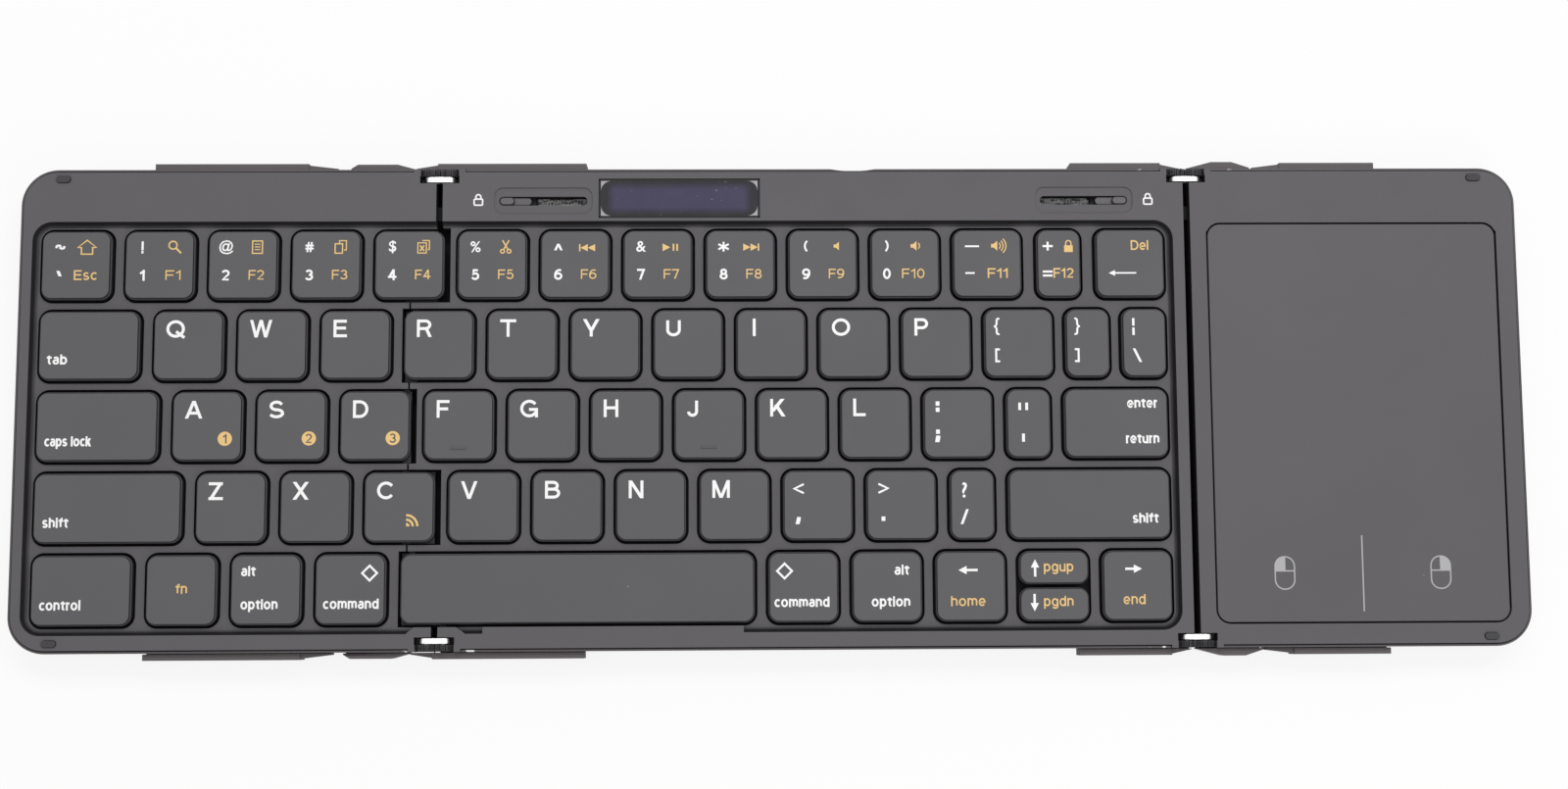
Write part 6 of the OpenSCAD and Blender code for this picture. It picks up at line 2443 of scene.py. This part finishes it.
@dataclass
class Inside:
    """What the case holds: plates, board, battery and port."""

    shop: Workshop
    board_top: float = 2.7
    port_x: float = 16.525
    shell: Point = (4.47, 3.26)
    shell_back: float = 42.0
    tongue: Point = (4.0, 4.65)
    contact: Triple = (0.28, 2.2, 0.05)
    contact_y: float = 46.1
    contacts: int = 12
    pitch: float = 0.5
    shell_wall: float = 0.42
    chip_foot: float = 0.05
    shell_foot: float = 0.05
    switch_edge: float = 0.12
    board_edge: float = 0.06

    def build(self) -> None:
        """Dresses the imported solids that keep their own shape."""
        for name in ("left_switch_plate", "centre_switch_plate"):
            self.shop.dress(name, PLATE_PAINT)
        self.shop.dress("battery", POUCH_FOIL)
        self.shop.softened("power_switch", KNOB_ACETAL, "slider", self.switch_edge)
        self.board()

    def board(self) -> None:
        """Dresses the board with its chips and the charging port, whose tongue carries a row of contacts."""
        board = self.shop.softened("circuit_board", BOARD_MASK, "board", self.board_edge, cut=True)
        low, high = self.board_top - self.shell_foot, self.board_top + self.chip_foot
        split_finish(board, CHIP_RESIN, lambda at, normal: at.z > high)
        split_finish(board, PORT_SHELL, lambda at, normal: at.z > low and self.in_shell(at))
        pin = Shells()
        width, length, thick = self.contact
        pin.slab(Plan(0, 0, width, length, 0.08, 2), 0.0, thick)
        first = self.port_x - self.pitch * (self.contacts - 1) / 2
        for face, z in (("upper", self.tongue[1] - 0.01), ("lower", self.tongue[0] + 0.01 - thick)):
            row = PartsInRow(f"port_{face}_contacts", CONTACT_GOLD)
            mesh = row.mesh(pin, self.contacts, (first, self.contact_y, z), (self.pitch, 0, 0))
            dressed_piece(f"port_{face}_contacts", mesh, CONTACT_GOLD, "centre_panel")

    def in_shell(self, at: Vector) -> bool:
        """Whether a place on the board belongs to the port's drawn shell.

        Args:
            at: The place, in millimetres.

        Returns:
            Whether it does.
        """
        half, height = self.shell
        off, up = abs(at.x - self.port_x), at.z - self.board_top - height / 2
        rim = math.hypot(max(off - half + height / 2, 0.0), up)
        return off < half + 0.1 and at.y > self.shell_back and rim > height / 2 - self.shell_wall


# ---------------- studio


@dataclass
class Studio:
    """A pale floor, soft lights and the camera."""

    camera_at: Triple = (-6.48, -44.29, 432.3)
    camera_turn: Triple = (6.284, -1.1143, -0.3192)
    focal: float = 47.925
    sensor: float = 36.0
    floor: float = 4000.0
    sky: float = 0.5
    paper_glow: float = 0.85

    def build(self) -> None:
        """Builds the camera, the floor, the world and the lamps."""
        scene = bpy.context.scene
        scene.view_settings.view_transform = "Standard"
        self.camera(scene)
        self.ground()
        self.world(scene)
        self.lamp("softbox", (120, 520, 760), (0, 0, 0), (900, 300), 4.3)
        self.lamp("side_box", (300, -560, 420), (20, -30, 0), (500, 400), 1.1)

    def camera(self, scene: bpy.types.Scene) -> None:
        """Sets the camera.

        Args:
            scene: The scene.
        """
        data = bpy.data.cameras.new("camera")
        data.lens, data.sensor_width, data.sensor_fit = self.focal, self.sensor, "HORIZONTAL"
        data.clip_start, data.clip_end = 0.01, 50.0
        camera = bpy.data.objects.new("camera", data)
        camera.location = [v * MM for v in self.camera_at]
        camera.rotation_euler = Euler([math.radians(v) for v in self.camera_turn], "XYZ")
        show(camera)
        scene.camera = camera

    def ground(self) -> None:
        """Lays the floor under the feet."""
        half = self.floor / 2 * MM
        mesh = bpy.data.meshes.new("floor")
        mesh.from_pydata([(-half, -half, 0), (half, -half, 0), (half, half, 0), (-half, half, 0)], [], [(0, 1, 2, 3)])
        floor = bpy.data.objects.new("floor", mesh)
        show(floor)
        material = bpy.data.materials.new("white_paper_sweep")
        material.use_nodes = True
        tree = material.node_tree
        tree.nodes.clear()
        paper = add_node(tree, "ShaderNodeBsdfDiffuse", {"Color": linear("#fbfbfb")})
        lit = add_node(tree, "ShaderNodeEmission", {"Color": linear("#ffffff"), "Strength": 1.0})
        path = add_node(tree, "ShaderNodeLightPath")
        glow = {0: path.outputs["Is Camera Ray"], 1: self.paper_glow}
        share = add_node(tree, "ShaderNodeMath", glow, operation="MULTIPLY")
        sides = {0: share.outputs["Value"], 1: paper.outputs["BSDF"], 2: lit.outputs["Emission"]}
        mix = add_node(tree, "ShaderNodeMixShader", sides)
        add_node(tree, "ShaderNodeOutputMaterial", {"Surface": mix.outputs["Shader"]})
        mesh.materials.append(material)
        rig.stage(floor)

    def world(self, scene: bpy.types.Scene) -> None:
        """Surrounds the scene with white that lights it evenly.

        Args:
            scene: The scene.
        """
        world = bpy.data.worlds.new("studio")
        scene.world = world
        world.use_nodes = True
        tree = world.node_tree
        tree.nodes.clear()
        path = add_node(tree, "ShaderNodeLightPath").outputs
        shown = path["Is Camera Ray"]
        for ray in ("Is Transmission Ray", "Is Glossy Ray"):
            shown = add_node(tree, "ShaderNodeMath", {0: shown, 1: path[ray]}, operation="MAXIMUM").outputs["Value"]
        strength = add_node(tree, "ShaderNodeMapRange", {"Value": shown, "To Min": self.sky, "To Max": 1.0})
        light = {"Color": (1, 1, 1, 1), "Strength": strength.outputs["Result"]}
        back = add_node(tree, "ShaderNodeBackground", light)
        add_node(tree, "ShaderNodeOutputWorld", {"Surface": back.outputs["Background"]})

    def lamp(self, name: str, at: Triple, aim: Triple, size: Point, watts: float) -> None:
        """Hangs a soft lamp.

        Args:
            name: The lamp's name.
            at: Where it hangs.
            aim: What it points at.
            size: Its width and height.
            watts: Its power.
        """
        data = bpy.data.lights.new(name, "AREA")
        data.shape = "RECTANGLE"
        data.size, data.size_y = (v * MM for v in size)
        data.energy = watts
        lamp = bpy.data.objects.new(name, data)
        lamp.location = [v * MM for v in at]
        away = Vector(at) - Vector(aim)
        lamp.rotation_euler = away.to_track_quat("Z", "Y").to_euler()
        show(lamp)


def main() -> None:
    """Builds the keyboard and the studio, in order."""
    logging.basicConfig(level=logging.INFO, format="%(name)s: %(message)s")
    shop = Workshop()
    cad = [list(corner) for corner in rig.bounds()]
    printer = Printer()
    Studio().build()
    KeyCaps(shop, printer).build()
    Switches(shop).build()
    Case(shop).build()
    Hinges(shop).build()
    Touchpad(shop, printer).build()
    Display(shop).build()
    Locks(shop, printer).build()
    Cables(shop).build()
    Inside(shop).build()
    dressed = [list(corner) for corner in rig.bounds()]
    with open(SIZE_FILE, "w", encoding="utf-8") as file:
        json.dump({"cad": cad, "visual": dressed}, file)
    LOG.info("box: %s then %s", cad, dressed)


if __name__ == "__main__":
    main()
